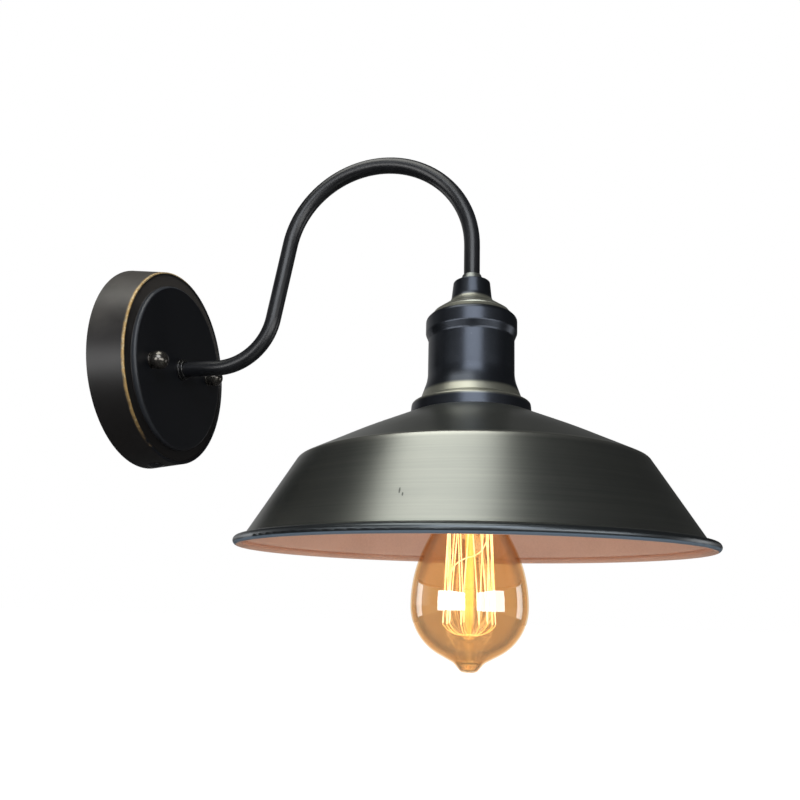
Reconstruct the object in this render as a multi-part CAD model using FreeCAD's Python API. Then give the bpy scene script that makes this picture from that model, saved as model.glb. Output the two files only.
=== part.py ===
"""Gooseneck wall sconce: a round canopy, a bent arm tube and a shade lamp with its bulb.

Frame: the wall is the plane y = 0 and the arm reaches out along -Y in the plane x = 0.
The origin is the centre of the canopy's wall plane and +Z is up. Lengths are in millimetres.
"out" below means the distance from the wall, which is -y.
"""

import FreeCAD
import Part

import math
import os

Vector = FreeCAD.Vector

# ---------------------------------------------------------------- driving dimensions

# Fits and gaps
RUNNING_GAP = 0.08  # radial, between a thread and what turns on it
SLIP_GAP = 0.3  # radial, between a tube or screw and the hole that it passes
SEAT_GAP = 0.1  # between flat faces of pieces that move apart
SLOT_WIDTH = 0.7  # screwdriver slots
SLOT_DEPTH = 0.8

# Canopy, a pressed shell that covers the bracket
CANOPY_RADIUS = 60.5  # at the worn front edge
CANOPY_DRAFT = 2.5  # how much wider the back edge is
CANOPY_DEPTH = 22.0  # wall to the front edge
CANOPY_SHEET = 1.2
EDGE_WIDTH = 1.3  # flat top of the worn edge
EDGE_RISE = 1.0  # worn edge above the ring inside it
DISC_RADIUS = 51.9  # raised middle of the face
DISC_RISE = 3.2  # raised middle above the ring round it
DISC_EDGE_RADIUS = 1.7

# Plug in the canopy's underside
PLUG_OUT = 10.0
PLUG_HOLE_RADIUS = 4.5
PLUG_HEAD_RADIUS = 5.7
PLUG_HEAD_RISE = 1.6
PLUG_DOME_RADIUS = 8.8
PLUG_STEM_LENGTH = 4.5
PLUG_BORE_RADIUS = 2.7

# Bracket on the wall, its studs and their ball nuts
BRACKET_LENGTH = 108.0
BRACKET_WIDTH = 20.0
BRACKET_SHEET = 2.0
BRACKET_CORNER = 4.0
BRACKET_TAB_HEIGHT = 24.0  # above the bar, it carries the terminal block
BRACKET_TAB_WIDTH = 28.0
CABLE_HOLE_RADIUS = 6.0
WALL_SLOT_SPACING = 88.9
WALL_SLOT_LENGTH = 10.0
WALL_SLOT_WIDTH = 4.6
STUD_SPACING = 70.0
STUD_LEAN = 8.0  # degrees from the left stud up to the right one
STUD_RADIUS = 2.0
STUD_REACH = 31.0
STUD_NUT_FLATS = 7.0
STUD_NUT_HEIGHT = 3.2
EARTH_SCREW_OFFSET = 20.0  # left of the centre
EARTH_SCREW_RADIUS = 2.0
EARTH_HEAD_RADIUS = 3.5
EARTH_HEAD_HEIGHT = 2.4
LUG_MARGIN = 0.8  # flat of the ring terminal beyond the screw head and beside the wire
LUG_BARREL_LENGTH = 4.5
LUG_BARREL_GAP = 1.0  # between the screw head and the barrel
NUT_WASHER_RADIUS = 4.9
NUT_WASHER_SHEET = 0.8
BALL_RADIUS = 5.6
BALL_OFFSET = 4.0  # ball centre above its washer
BALL_NECK_RADIUS = 4.3
BALL_NECK_HEIGHT = 1.5
BALL_BORE_DEPTH = 6.6

# Arm tube: straight out of the canopy, up, over the arch and down to the lamp
TUBE_RADIUS = 4.75
TUBE_WALL = 1.0
REACH = 210.0  # wall to the lamp's axis
ARCH_RADIUS = 58.5
ARCH_HEIGHT = 68.5  # the arch's centre above the canopy's centre
RISER_LEAN = 10.5  # degrees from the vertical
FOOT_BEND_RADIUS = 37.0
TUBE_START_OUT = 12.0
TUBE_END_HEIGHT = 47.0

# Bush, collar, washer and nut that hold the tube in the canopy
BUSH_RADIUS = 5.55
BUSH_LENGTH = 9.0
COLLAR_RADIUS = 6.9
COLLAR_STEP_RADIUS = 6.1
COLLAR_FOOT = 1.2
COLLAR_LENGTH = 3.2
TOOTHED_WASHER_SHEET = 0.8
TOOTHED_WASHER_RADIUS = 8.5
WASHER_TEETH = 12
WASHER_TOOTH_GAP = 0.75  # radius of the notch between two teeth
BUSH_NUT_FLATS = 16.0
BUSH_NUT_HEIGHT = 3.0

# Threaded nipple that carries the lamp at the tube's lower end
NIPPLE_RADIUS = 5.0
NIPPLE_BORE_RADIUS = 3.0
NIPPLE_SPIGOT_LENGTH = 10.0
NIPPLE_BOTTOM = -10.0
NIPPLE_NUT_FLATS = 14.0
NIPPLE_NUT_HEIGHT = 3.0

# Neck collar, neck cap and cup, from the top down
NECK_COLLAR_RADIUS = 6.5
NECK_COLLAR_TOP = 49.2
NECK_TOP = 44.6
NECK_TOP_RADIUS = 10.8
NECK_WAIST_RADIUS = 12.1
NECK_WAIST_HEIGHT = 32.5
NECK_COVE_RADIUS = 7.0
NECK_RIM_RADIUS = 22.3
CUP_TOP = 24.5
CUP_SHEET = 1.2
CUP_SHOULDER_RADIUS = 22.6
CUP_BEAD_RADIUS = 26.7
CUP_BEAD_TOP = 20.4
CUP_BEAD_BOTTOM = 12.6
CUP_WAIST_RADIUS = 25.1
CUP_WAIST_TOP = 8.6
CUP_FLARE_TOP = -15.5
CUP_FLARE_RADIUS = 29.4
CUP_FLARE_BOTTOM = -27.6
CUP_FLANGE_RADIUS = 34.9
CUP_FLANGE_TOP = -30.4
CUP_BOTTOM = -37.0

# Shade, a spun shell with a rolled rim
SHADE_SHEET = 1.0
SHADE_SEAT_RADIUS = 35.4
SHADE_CROWN_RADIUS = 66.0
SHADE_CROWN_DROP = 13.8
SHADE_CROWN_ARC = 400.0  # radius of the crown's slight dome
SHADE_SHOULDER_RADIUS = 98.0
SHADE_SHOULDER_DROP = 29.9
SHADE_SKIRT_RADIUS = 124.2
SHADE_SKIRT_DROP = 72.6
SHADE_RIM_RADIUS = 130.0
SHADE_ROLL_RADIUS = 2.3
SHADE_HEIGHT = 77.9

# Lampholder and the ring that clamps the shade
HOLDER_RADIUS = 19.3
HOLDER_TOP = -3.0
HOLDER_CAP_WALL = 1.5
HOLDER_BUSH_RADIUS = 7.6
HOLDER_BUSH_BOTTOM = -11.5
HOLDER_CONE_RUN = 1.5  # the cap's sloping top stops this far inside its side
HOLDER_CONE_DROP = 1.5
HOLDER_SHOULDER_DROP = 5.0
HOLDER_JOINT = -24.0  # where the cap meets the body
HOLDER_BOTTOM = -63.0
HOLDER_UPPER_BORE = 17.3
HOLDER_LEDGE = -36.0  # the core rests here
HOLDER_LOWER_BORE = 14.8
CORE_HEIGHT = 8.0
TONGUE_SHEET = 0.5  # centre contact
TONGUE_LENGTH = 9.0
TONGUE_WIDTH = 5.0
THREAD_RINGS = 7
THREAD_RING_DEPTH = 0.6
SCREW_SHELL_WALL = 0.5
SCREW_SHELL_BOTTOM = -60.0
SHADE_RING_RADIUS = 26.0
SHADE_RING_HUB_RADIUS = 22.6
SHADE_RING_FLANGE = 2.6
SHADE_RING_HEIGHT = 8.0
SHADE_RING_NOTCHES = 16
SHADE_RING_NOTCH_RADIUS = 1.2
POST_OFFSET = 9.0
POST_WIDTH = 6.0
POST_HEIGHT = 4.6
POST_PIN_RADIUS = 1.2
POST_SCREW_RADIUS = 1.5
POST_SCREW_HEAD_RADIUS = 2.2
POST_SCREW_HEAD_HEIGHT = 1.2
GRUB_RADIUS = 1.5
GRUB_LENGTH = 2.9

# Bulb
CAP_RADIUS = 13.0
CAP_WALL = 0.5
CAP_PITCH = 3.6
CAP_TURNS = 5
CAP_RING_DEPTH = 0.5
CAP_CONE_RISE = 1.2  # from the first ring up to the insulator
CAP_SKIRT_FLARE = 1.0
CAP_TOP = -41.5
CAP_SKIRT_TOP = -60.6
CAP_SKIRT_BOTTOM = -67.5
CAP_SKIRT_RADIUS = 14.4
CONTACT_TOP = -38.2
CONTACT_RADIUS = 4.6
CONTACT_CHAMFER = 0.4
INSULATOR_RADIUS = 7.6
INSULATOR_DEPTH = 3.9
INSULATOR_TOP = -39.6
GLASS_WALL = 0.8
GLASS_NECK_TOP = -62.5
GLASS_NECK_RADIUS = 13.4
GLASS_THROAT_RADIUS = 13.9
GLASS_THROAT = -89.2
GLASS_RADIUS = 32.6
GLASS_FLANK = -126.0
GLASS_BASE = -162.4
GLASS_NIPPLE_RADIUS = 8.4
GLASS_NIPPLE = -175.3
GLASS_TIP_RADIUS = 4.3
GLASS_TIP = -180.2
STEM_RADIUS = 4.2
STEM_BOTTOM = -98.0
STEM_FLARE_DROP = 9.0  # from the neck's top to the pinch
STEM_FLARE_RADIUS = 6.0
ROD_RADIUS = 2.3
ROD_BOTTOM = -153.0
ROD_TIP = -161.0
ROD_TIP_RADIUS = 1.0
CAGE_TOP_RADIUS = 12.0
CAGE_BOTTOM_RADIUS = 14.6
CAGE_TOP = -88.0
CAGE_BOTTOM = -154.0
CAGE_HOOKS = 19  # hooks in turn at the top and the bottom, the first and last are the leads
FILAMENT_RADIUS = 0.35
SUPPORT_RADIUS = 0.3
LEAD_RADIUS = 0.4
LEAD_ROOT = 2.4  # each lead's distance from the axis inside the stem
LEAD_EXIT = -79.0

# Terminal block and wires
BLOCK_WIDTH = 26.0
BLOCK_DEPTH = 12.0
BLOCK_HEIGHT = 16.0
BLOCK_BOTTOM = 17.0
BLOCK_WAYS = (-1, 0, 1)  # left, middle and right
WAY_PITCH = 8.0
WAY_GROOVE = 1.2  # between two towers
WAY_HOLE_RADIUS = 1.35
CLAMP_SCREW_RADIUS = 1.85
CLAMP_SCREW_INSET = 3.5  # from the block's upper and lower ends
CLAMP_SCREW_SUNK = 1.5
WIRE_RADIUS = 0.95
WIRE_SPREAD = 1.15  # each wire's distance from the tube's centre line
WIRE_PLANE_OUT = 4.5  # the wires run this far from the wall inside the canopy
WIRE_BEND_RADIUS = 5.0
EARTH_BEND_RADIUS = 3.2

# Worked out from the sizes above
BACK_RADIUS = CANOPY_RADIUS + CANOPY_DRAFT
RING_OUT = CANOPY_DEPTH - EDGE_RISE
FACE_OUT = RING_OUT + DISC_RISE
TUBE_BORE = TUBE_RADIUS - TUBE_WALL
STUD_X = STUD_SPACING / 2 * math.cos(math.radians(STUD_LEAN))
STUD_Z = STUD_SPACING / 2 * math.sin(math.radians(STUD_LEAN))
SHADE_TOP = CUP_BOTTOM - SEAT_GAP
RING_TOP = SHADE_TOP - SHADE_SHEET - SEAT_GAP
SHELL_BORE = CAP_RADIUS + RUNNING_GAP
CORE_TOP = HOLDER_LEDGE + CORE_HEIGHT


# ---------------------------------------------------------------- geometry helpers


def unit(dx, dy):
    """Return the direction (dx, dy) with a length of 1."""
    length = math.hypot(dx, dy)
    return dx / length, dy / length


def offset_outline(points, distance):
    """Shift an open outline sideways, to the right of its direction of travel.

    Each point is (radius, height, corner radius); corners keep their mitres.
    """
    shifted = []
    last = len(points) - 1
    for i, (r, h, corner) in enumerate(points):
        before = unit(r - points[i - 1][0], h - points[i - 1][1]) if i else None
        after = unit(points[i + 1][0] - r, points[i + 1][1] - h) if i < last else None
        before = before or after
        after = after or before
        turn = before[0] * after[1] - before[1] * after[0]
        scale = distance / (1 + before[0] * after[0] + before[1] * after[1])
        dr = (before[1] + after[1]) * scale
        dh = -(before[0] + after[0]) * scale
        grown = corner + distance if turn > 0 else corner - distance
        shifted.append((r + dr, h + dh, max(grown, 0.0) if corner else 0.0))
    return shifted


def outline_edges(points, place):
    """Turn an open outline with corner radii into lines and tangent arcs."""
    edges = []
    start = points[0][:2]
    for i in range(1, len(points)):
        r, h, corner = points[i]
        if corner and i < len(points) - 1:
            back = unit(points[i - 1][0] - r, points[i - 1][1] - h)
            ahead = unit(points[i + 1][0] - r, points[i + 1][1] - h)
            half = math.acos(back[0] * ahead[0] + back[1] * ahead[1]) / 2
            run = corner / math.tan(half)
            rest = corner / math.sin(half) - corner
            middle = unit(back[0] + ahead[0], back[1] + ahead[1])
            enter = (r + back[0] * run, h + back[1] * run)
            leave = (r + ahead[0] * run, h + ahead[1] * run)
            crest = (r + middle[0] * rest, h + middle[1] * rest)
            edges.append(line_edge(start, enter, place))
            edges.append(Part.Arc(place(*enter), place(*crest), place(*leave)).toShape())
            start = leave
        else:
            edges.append(line_edge(start, (r, h), place))
            start = (r, h)
    return [edge for edge in edges if edge is not None]


def line_edge(start, end, place):
    """Return the straight edge between two outline points, or None where they meet."""
    if math.dist(start, end) < 1e-6:
        return None
    return Part.LineSegment(place(*start), place(*end)).toShape()


def lamp_place(r, h):
    """Put an outline point in the lamp's half plane: r from its axis, h high."""
    return Vector(r, -REACH, h)


def wall_place(r, h):
    """Put an outline point in the canopy's half plane: r from its axis, h out."""
    return Vector(r, -h, 0)


LAMP_AXIS = (Vector(0, -REACH, 0), Vector(0, 0, 1))
WALL_AXIS = (Vector(0, 0, 0), Vector(0, -1, 0))


def turned(outer, inner=None, place=lamp_place, axis=LAMP_AXIS):
    """Revolve the area between two outlines, or inside one closed outline."""
    edges = outline_edges(outer, place)
    if inner:
        edges += outline_edges(inner, place)
        edges.append(line_edge(outer[0][:2], inner[0][:2], place))
        edges.append(line_edge(outer[-1][:2], inner[-1][:2], place))
    else:
        edges.append(line_edge(outer[-1][:2], outer[0][:2], place))
    edges = [edge for edge in edges if edge is not None]
    face = Part.Face(Part.Wire(Part.__sortEdges__(edges)))
    solid = face.revolve(axis[0], axis[1], 360)
    if solid.Volume < 0:
        solid.reverse()
    return solid


def wall_turned(outer, inner=None):
    """Revolve an outline about the canopy's axis."""
    return turned(outer, inner, wall_place, WALL_AXIS)


def polygon(points):
    """Return (radius, height) pairs as an outline with sharp corners."""
    return [(r, h, 0.0) for r, h in points]


def rod(radius, start, end):
    """Return a round rod between two points."""
    direction = end - start
    return Part.makeCylinder(radius, direction.Length, start, direction)


def lamp_rod(radius, top, bottom):
    """Return a rod on the lamp's axis between two heights."""
    return rod(radius, Vector(0, -REACH, bottom), Vector(0, -REACH, top))


def out_rod(radius, start_out, end_out, x=0.0, z=0.0):
    """Return a rod that stands out of the wall."""
    return rod(radius, Vector(x, -start_out, z), Vector(x, -end_out, z))


def hexagon(flats, start, direction, height, bore):
    """Return a hexagon nut with a round hole and corners rounded by a cone."""
    corner = flats / math.sqrt(3)
    side = direction.cross(Vector(1, 0, 0))
    corners = []
    for i in range(7):
        angle = math.radians(60 * i)
        spoke = Vector(1, 0, 0) * math.cos(angle) + side * math.sin(angle)
        corners.append(start + spoke * corner)
    prism = Part.Face(Part.makePolygon(corners)).extrude(direction * height)
    chamfer = 0.12 * flats / 2
    cone = Part.makeCone(corner + height - chamfer, corner - chamfer, height, start, direction)
    bolt = Part.makeCylinder(bore, height, start, direction)
    return prism.common(cone).cut(bolt)


def tube_along(edges, radius, bore=0.0):
    """Sweep a round section along tangent lines and arcs; a bore makes it hollow."""
    path = Part.Wire(edges)
    start = path.Edges[0].firstVertex().Point
    heading = path.Edges[0].tangentAt(path.Edges[0].FirstParameter)
    solid = sweep_disc(path, start, heading, radius)
    if bore:
        solid = solid.cut(sweep_disc(path, start, heading, bore))
    return solid


def sweep_disc(path, start, heading, radius):
    """Return the solid that a disc makes as it moves along a path."""
    ring = Part.Wire(Part.makeCircle(radius, start, heading))
    return path.makePipeShell([ring], True, False)


def bend(start, corner, end):
    """Return the tangent arc that rounds a corner, given its two ends."""
    centre_side = (start - corner).normalize() + (end - corner).normalize()
    half = (start - corner).getAngle(end - corner) / 2
    run = (start - corner).Length
    radius = run * math.tan(half)
    crest = corner + centre_side.normalize() * (radius / math.sin(half) - radius)
    return Part.Arc(start, crest, end).toShape()


def straight(start, end):
    """Return a straight edge."""
    return Part.LineSegment(start, end).toShape()


def swerve(start, heading, side, shift, radius):
    """Return two arcs that shift a path sideways, and the point where they end."""
    angle = math.acos(1 - shift / (2 * radius))
    drop = heading * (radius * math.sin(angle / 2)) + side * (radius * (1 - math.cos(angle / 2)))
    middle = start + heading * (radius * math.sin(angle)) + side * (shift / 2)
    end = start + heading * (2 * radius * math.sin(angle)) + side * shift
    first = Part.Arc(start, start + drop, middle).toShape()
    return [first, Part.Arc(middle, end - drop, end).toShape()], end


def save(name, shape):
    """Write one sub-part as a STEP file named after its node."""
    shape.exportStep(f"parts/{name}.step")
    print(f"{name}: {len(shape.Solids)} solid(s), {shape.Volume:.1f} mm3")


# ---------------------------------------------------------------- wall side


def wall_bracket():
    """Return the flat crossbar with its slots, stud holes, cable hole and upper tab."""
    half = BRACKET_LENGTH / 2
    bar = Part.makeBox(
        BRACKET_LENGTH, BRACKET_SHEET, BRACKET_WIDTH, Vector(-half, -BRACKET_SHEET, -BRACKET_WIDTH / 2)
    )
    bar = round_flat_corners(bar, BRACKET_CORNER)
    tab = Part.makeBox(
        BRACKET_TAB_WIDTH,
        BRACKET_SHEET,
        BRACKET_TAB_HEIGHT + BRACKET_WIDTH / 2,
        Vector(-BRACKET_TAB_WIDTH / 2, -BRACKET_SHEET, 0),
    )
    plate = bar.fuse(tab).removeSplitter()
    plate = plate.cut(out_rod(CABLE_HOLE_RADIUS, 0, BRACKET_SHEET))
    for side in (-1, 1):
        plate = plate.cut(out_rod(STUD_RADIUS, 0, BRACKET_SHEET, side * STUD_X, side * STUD_Z))
        plate = plate.cut(wall_slot(side * WALL_SLOT_SPACING / 2))
    plate = plate.cut(out_rod(EARTH_SCREW_RADIUS, 0, BRACKET_SHEET, -EARTH_SCREW_OFFSET))
    return plate.cut(out_rod(GRUB_RADIUS, 0, BRACKET_SHEET, 0, block_centre_height()))


def round_flat_corners(plate, radius):
    """Round the four corners of a plate that lies on the wall."""
    across = [e for e in plate.Edges if abs(e.tangentAt(e.FirstParameter).y) > 0.99]
    return plate.makeFillet(radius, across)


def wall_slot(x):
    """Return the cutter for one wall screw slot, centred at x."""
    run = (WALL_SLOT_LENGTH - WALL_SLOT_WIDTH) / 2
    radius = WALL_SLOT_WIDTH / 2
    middle = Part.makeBox(
        2 * run, BRACKET_SHEET, WALL_SLOT_WIDTH, Vector(x - run, -BRACKET_SHEET, -radius)
    )
    for end in (-run, run):
        middle = middle.fuse(out_rod(radius, 0, BRACKET_SHEET, x + end))
    return middle.removeSplitter()


def stud(side):
    """Return one threaded stud, screwed into the bracket."""
    shaft = out_rod(STUD_RADIUS, 0, STUD_REACH, side * STUD_X, side * STUD_Z)
    tip = [e for e in shaft.Edges if abs(e.CenterOfMass.y + STUD_REACH) < 1e-6]
    return shaft.makeChamfer(0.3 * STUD_RADIUS, tip)


def canopy_studs():
    """Return both studs as a group."""
    return Part.makeCompound([stud(side) for side in (-1, 1)])


def stud_lock_nuts():
    """Return the nuts that lock the studs against the bracket."""
    nuts = []
    for side in (-1, 1):
        seat = Vector(side * STUD_X, -BRACKET_SHEET, side * STUD_Z)
        nuts.append(
            hexagon(STUD_NUT_FLATS, seat, Vector(0, -1, 0), STUD_NUT_HEIGHT, STUD_RADIUS)
        )
    return Part.makeCompound(nuts)


def canopy():
    """Return the canopy shell with its raised disc, worn edge and holes."""
    centre_hole = BUSH_RADIUS + SLIP_GAP
    ring_radius = CANOPY_RADIUS - EDGE_WIDTH - EDGE_RISE
    outer = [
        (BACK_RADIUS, 0.0, 0.0),
        (CANOPY_RADIUS, CANOPY_DEPTH, 0.6),
        (CANOPY_RADIUS - EDGE_WIDTH, CANOPY_DEPTH, 0.4),
        (ring_radius, RING_OUT, 0.5),
        (DISC_RADIUS, RING_OUT, 0.5),
        (DISC_RADIUS, FACE_OUT, DISC_EDGE_RADIUS),
        (centre_hole, FACE_OUT, 0.0),
    ]
    plain = [
        (BACK_RADIUS, 0.0, 0.0),
        (CANOPY_RADIUS, RING_OUT, 1.6),
        (DISC_RADIUS, RING_OUT, 0.3),
        (DISC_RADIUS, FACE_OUT, DISC_EDGE_RADIUS),
        (centre_hole, FACE_OUT, 0.0),
    ]
    shell = wall_turned(outer, offset_outline(plain, -CANOPY_SHEET))
    shell = shell.cut(out_rod(BACK_RADIUS + CANOPY_DEPTH, -CANOPY_DEPTH, 0))
    for side in (-1, 1):
        hole = out_rod(STUD_RADIUS + SLIP_GAP, 0, FACE_OUT, side * STUD_X, side * STUD_Z)
        shell = shell.cut(hole)
    return shell.cut(plug_rod(PLUG_HOLE_RADIUS, BACK_RADIUS - 2 * PLUG_HEAD_RADIUS, BACK_RADIUS))


def plug_rod(radius, start, end):
    """Return a rod that points straight down through the canopy's underside."""
    return rod(radius, Vector(0, -PLUG_OUT, -start), Vector(0, -PLUG_OUT, -end))


def canopy_plug():
    """Return the domed push-in plug, fitted to the canopy's side."""
    skin = BACK_RADIUS - CANOPY_DRAFT * PLUG_OUT / CANOPY_DEPTH
    crown = skin + PLUG_HEAD_RISE
    ball = Part.makeSphere(PLUG_DOME_RADIUS, Vector(0, -PLUG_OUT, PLUG_DOME_RADIUS - crown))
    head = plug_rod(PLUG_HEAD_RADIUS, skin - CANOPY_SHEET, crown).common(ball)
    stem = plug_rod(PLUG_HOLE_RADIUS, skin - PLUG_STEM_LENGTH, skin)
    bore = plug_rod(PLUG_BORE_RADIUS, skin - PLUG_STEM_LENGTH, skin - CANOPY_SHEET)
    inside = plug_rod(2 * PLUG_HEAD_RADIUS, skin - 2 * PLUG_STEM_LENGTH, skin).cut(stem)
    plug = head.fuse(stem).cut(canopy()).cut(bore)
    core = wall_turned(canopy_room_outline())
    loose = inside.common(core)
    return biggest(plug.cut(loose))


def canopy_room_outline():
    """Return the closed outline of the room inside the canopy."""
    return polygon(
        [
            (0.0, 0.0),
            (BACK_RADIUS - CANOPY_SHEET, 0.0),
            (CANOPY_RADIUS - CANOPY_SHEET, RING_OUT - CANOPY_SHEET),
            (0.0, RING_OUT - CANOPY_SHEET),
        ]
    )


def biggest(shape):
    """Return the largest solid of a shape."""
    return max(shape.Solids, key=lambda solid: solid.Volume)


def nut_washer(side):
    """Return the flat washer under one ball nut."""
    x, z = side * STUD_X, side * STUD_Z
    disc = out_rod(NUT_WASHER_RADIUS, FACE_OUT, FACE_OUT + NUT_WASHER_SHEET, x, z)
    rim = [e for e in disc.Edges if abs(e.CenterOfMass.y + FACE_OUT + NUT_WASHER_SHEET) < 1e-6]
    disc = disc.makeFillet(0.3 * NUT_WASHER_SHEET, rim)
    return disc.cut(out_rod(STUD_RADIUS + RUNNING_GAP, 0, BRACKET_LENGTH, x, z))


def ball_nut(side):
    """Return one ball nut with its short neck and blind bore."""
    x, z = side * STUD_X, side * STUD_Z
    seat = FACE_OUT + NUT_WASHER_SHEET
    ball = Part.makeSphere(BALL_RADIUS, Vector(x, -(seat + BALL_OFFSET), z))
    ball = ball.cut(out_rod(2 * BALL_RADIUS, 0, seat + BALL_NECK_HEIGHT / 2, x, z))
    neck = out_rod(BALL_NECK_RADIUS, seat, seat + BALL_NECK_HEIGHT, x, z)
    bore = out_rod(STUD_RADIUS + RUNNING_GAP, 0, seat + BALL_BORE_DEPTH, x, z)
    return ball.fuse(neck).removeSplitter().cut(bore)


def earth_screw():
    """Return the earth screw: shaft, slotted pan head and washer face."""
    x = -EARTH_SCREW_OFFSET
    seat = BRACKET_SHEET + NUT_WASHER_SHEET
    shaft = out_rod(EARTH_SCREW_RADIUS, 0, seat, x)
    head = out_rod(EARTH_HEAD_RADIUS, seat, seat + EARTH_HEAD_HEIGHT, x)
    top = [e for e in head.Edges if abs(e.CenterOfMass.y + seat + EARTH_HEAD_HEIGHT) < 1e-6]
    head = head.makeFillet(0.3 * EARTH_HEAD_HEIGHT, top)
    slot = Part.makeBox(
        2 * EARTH_HEAD_RADIUS,
        SLOT_DEPTH,
        SLOT_WIDTH,
        Vector(x - EARTH_HEAD_RADIUS, -seat - EARTH_HEAD_HEIGHT, -SLOT_WIDTH / 2),
    )
    return shaft.fuse(head).removeSplitter().cut(slot)


def earth_ring_terminal():
    """Return the ring terminal: a flat ring under the screw and a barrel for the wire."""
    x = -EARTH_SCREW_OFFSET
    seat = BRACKET_SHEET
    top = seat + NUT_WASHER_SHEET
    barrel_bottom = EARTH_HEAD_RADIUS + LUG_BARREL_GAP
    barrel_top = barrel_bottom + LUG_BARREL_LENGTH
    barrel_radius = WIRE_PLANE_OUT - top + NUT_WASHER_SHEET / 2
    ring = out_rod(EARTH_HEAD_RADIUS + LUG_MARGIN, seat, top, x)
    tongue = Part.makeBox(
        2 * (WIRE_RADIUS + LUG_MARGIN),
        NUT_WASHER_SHEET,
        barrel_top,
        Vector(x - WIRE_RADIUS - LUG_MARGIN, -top, 0),
    )
    barrel = rod(
        barrel_radius, Vector(x, -WIRE_PLANE_OUT, barrel_bottom), Vector(x, -WIRE_PLANE_OUT, barrel_top)
    )
    bore = rod(
        WIRE_RADIUS, Vector(x, -WIRE_PLANE_OUT, barrel_bottom), Vector(x, -WIRE_PLANE_OUT, barrel_top)
    )
    lug = ring.fuse(tongue).fuse(barrel).removeSplitter()
    return lug.cut(bore).cut(out_rod(EARTH_SCREW_RADIUS, 0, BRACKET_LENGTH, x))


def block_centre_height():
    """Return the height of the terminal block's fixing screw."""
    return BLOCK_BOTTOM + BLOCK_HEIGHT / 2


def way_x(way):
    """Return the x of one way of the terminal block: -1 left, 0 middle, 1 right."""
    return way * WAY_PITCH


def terminal_block():
    """Return the moulded block: one tower a way, joined by a thin web."""
    front = BRACKET_SHEET + BLOCK_DEPTH
    middle = BRACKET_SHEET + BLOCK_DEPTH / 2
    body = Part.makeBox(
        BLOCK_WIDTH, BLOCK_DEPTH / 2, BLOCK_HEIGHT, Vector(-BLOCK_WIDTH / 2, -middle, BLOCK_BOTTOM)
    )
    width = WAY_PITCH - WAY_GROOVE
    for way in BLOCK_WAYS:
        tower = Part.makeBox(
            width, BLOCK_DEPTH, BLOCK_HEIGHT, Vector(way_x(way) - width / 2, -front, BLOCK_BOTTOM)
        )
        body = body.fuse(tower)
    body = body.removeSplitter()
    for way in BLOCK_WAYS:
        hole = rod(
            WAY_HOLE_RADIUS,
            Vector(way_x(way), -WIRE_PLANE_OUT, BLOCK_BOTTOM),
            Vector(way_x(way), -WIRE_PLANE_OUT, BLOCK_BOTTOM + BLOCK_HEIGHT),
        )
        body = body.cut(hole)
        for height in screw_heights():
            body = body.cut(out_rod(CLAMP_SCREW_RADIUS, WIRE_PLANE_OUT, front, way_x(way), height))
    return body


def screw_heights():
    """Return the heights of the clamp screws in each way of the block."""
    return BLOCK_BOTTOM + CLAMP_SCREW_INSET, BLOCK_BOTTOM + BLOCK_HEIGHT - CLAMP_SCREW_INSET


def terminal_block_screws():
    """Return the six clamp screws, each with a slot across its head."""
    head = BRACKET_SHEET + BLOCK_DEPTH - CLAMP_SCREW_SUNK
    screws = []
    for way in BLOCK_WAYS:
        for height in screw_heights():
            x = way_x(way)
            screw = out_rod(CLAMP_SCREW_RADIUS, WIRE_PLANE_OUT + WIRE_RADIUS, head, x, height)
            slot = Part.makeBox(
                2 * CLAMP_SCREW_RADIUS,
                SLOT_DEPTH,
                SLOT_WIDTH,
                Vector(x - CLAMP_SCREW_RADIUS, -head, height - SLOT_WIDTH / 2),
            )
            screws.append(screw.cut(slot))
    return Part.makeCompound(screws)


# ---------------------------------------------------------------- arm


def riser_foot():
    """Return how far out the leaning riser's line meets the height of the canopy's centre."""
    lean = math.radians(RISER_LEAN)
    touch_out = REACH - ARCH_RADIUS - ARCH_RADIUS * math.cos(lean)
    touch_height = ARCH_HEIGHT + ARCH_RADIUS * math.sin(lean)
    return touch_out - touch_height * math.tan(lean)


def arm_point(out, height, x):
    """Return a point of the arm's plane, moved sideways by x."""
    return Vector(x, -out, height)


def arm_edges(x=0.0):
    """Return the arm's centre line from the canopy to the lamp, moved sideways by x."""
    lean = math.radians(RISER_LEAN)
    corner_out = riser_foot()
    run = FOOT_BEND_RADIUS * math.tan((math.pi / 2 - lean) / 2)
    corner = arm_point(corner_out, 0, x)
    foot_start = arm_point(corner_out - run, 0, x)
    foot_end = arm_point(corner_out + run * math.sin(lean), run * math.cos(lean), x)
    arch_out = REACH - ARCH_RADIUS
    arch_start = arm_point(
        arch_out - ARCH_RADIUS * math.cos(lean), ARCH_HEIGHT + ARCH_RADIUS * math.sin(lean), x
    )
    arch_top = arm_point(arch_out, ARCH_HEIGHT + ARCH_RADIUS, x)
    arch_end = arm_point(REACH, ARCH_HEIGHT, x)
    return [
        straight(arm_point(TUBE_START_OUT, 0, x), foot_start),
        bend(foot_start, corner, foot_end),
        straight(foot_end, arch_start),
        Part.Arc(arch_start, arch_top, arch_end).toShape(),
        straight(arch_end, arm_point(REACH, TUBE_END_HEIGHT, x)),
    ]


def arm_tube():
    """Return the bent arm tube with its bore."""
    return tube_along(arm_edges(), TUBE_RADIUS, TUBE_BORE)


def arm_bush():
    """Return the threaded bush on the tube's end, inside the canopy."""
    end = FACE_OUT
    sleeve = out_rod(BUSH_RADIUS, end - BUSH_LENGTH, end)
    return sleeve.cut(out_rod(TUBE_RADIUS, 0, end + BUSH_LENGTH))


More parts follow.
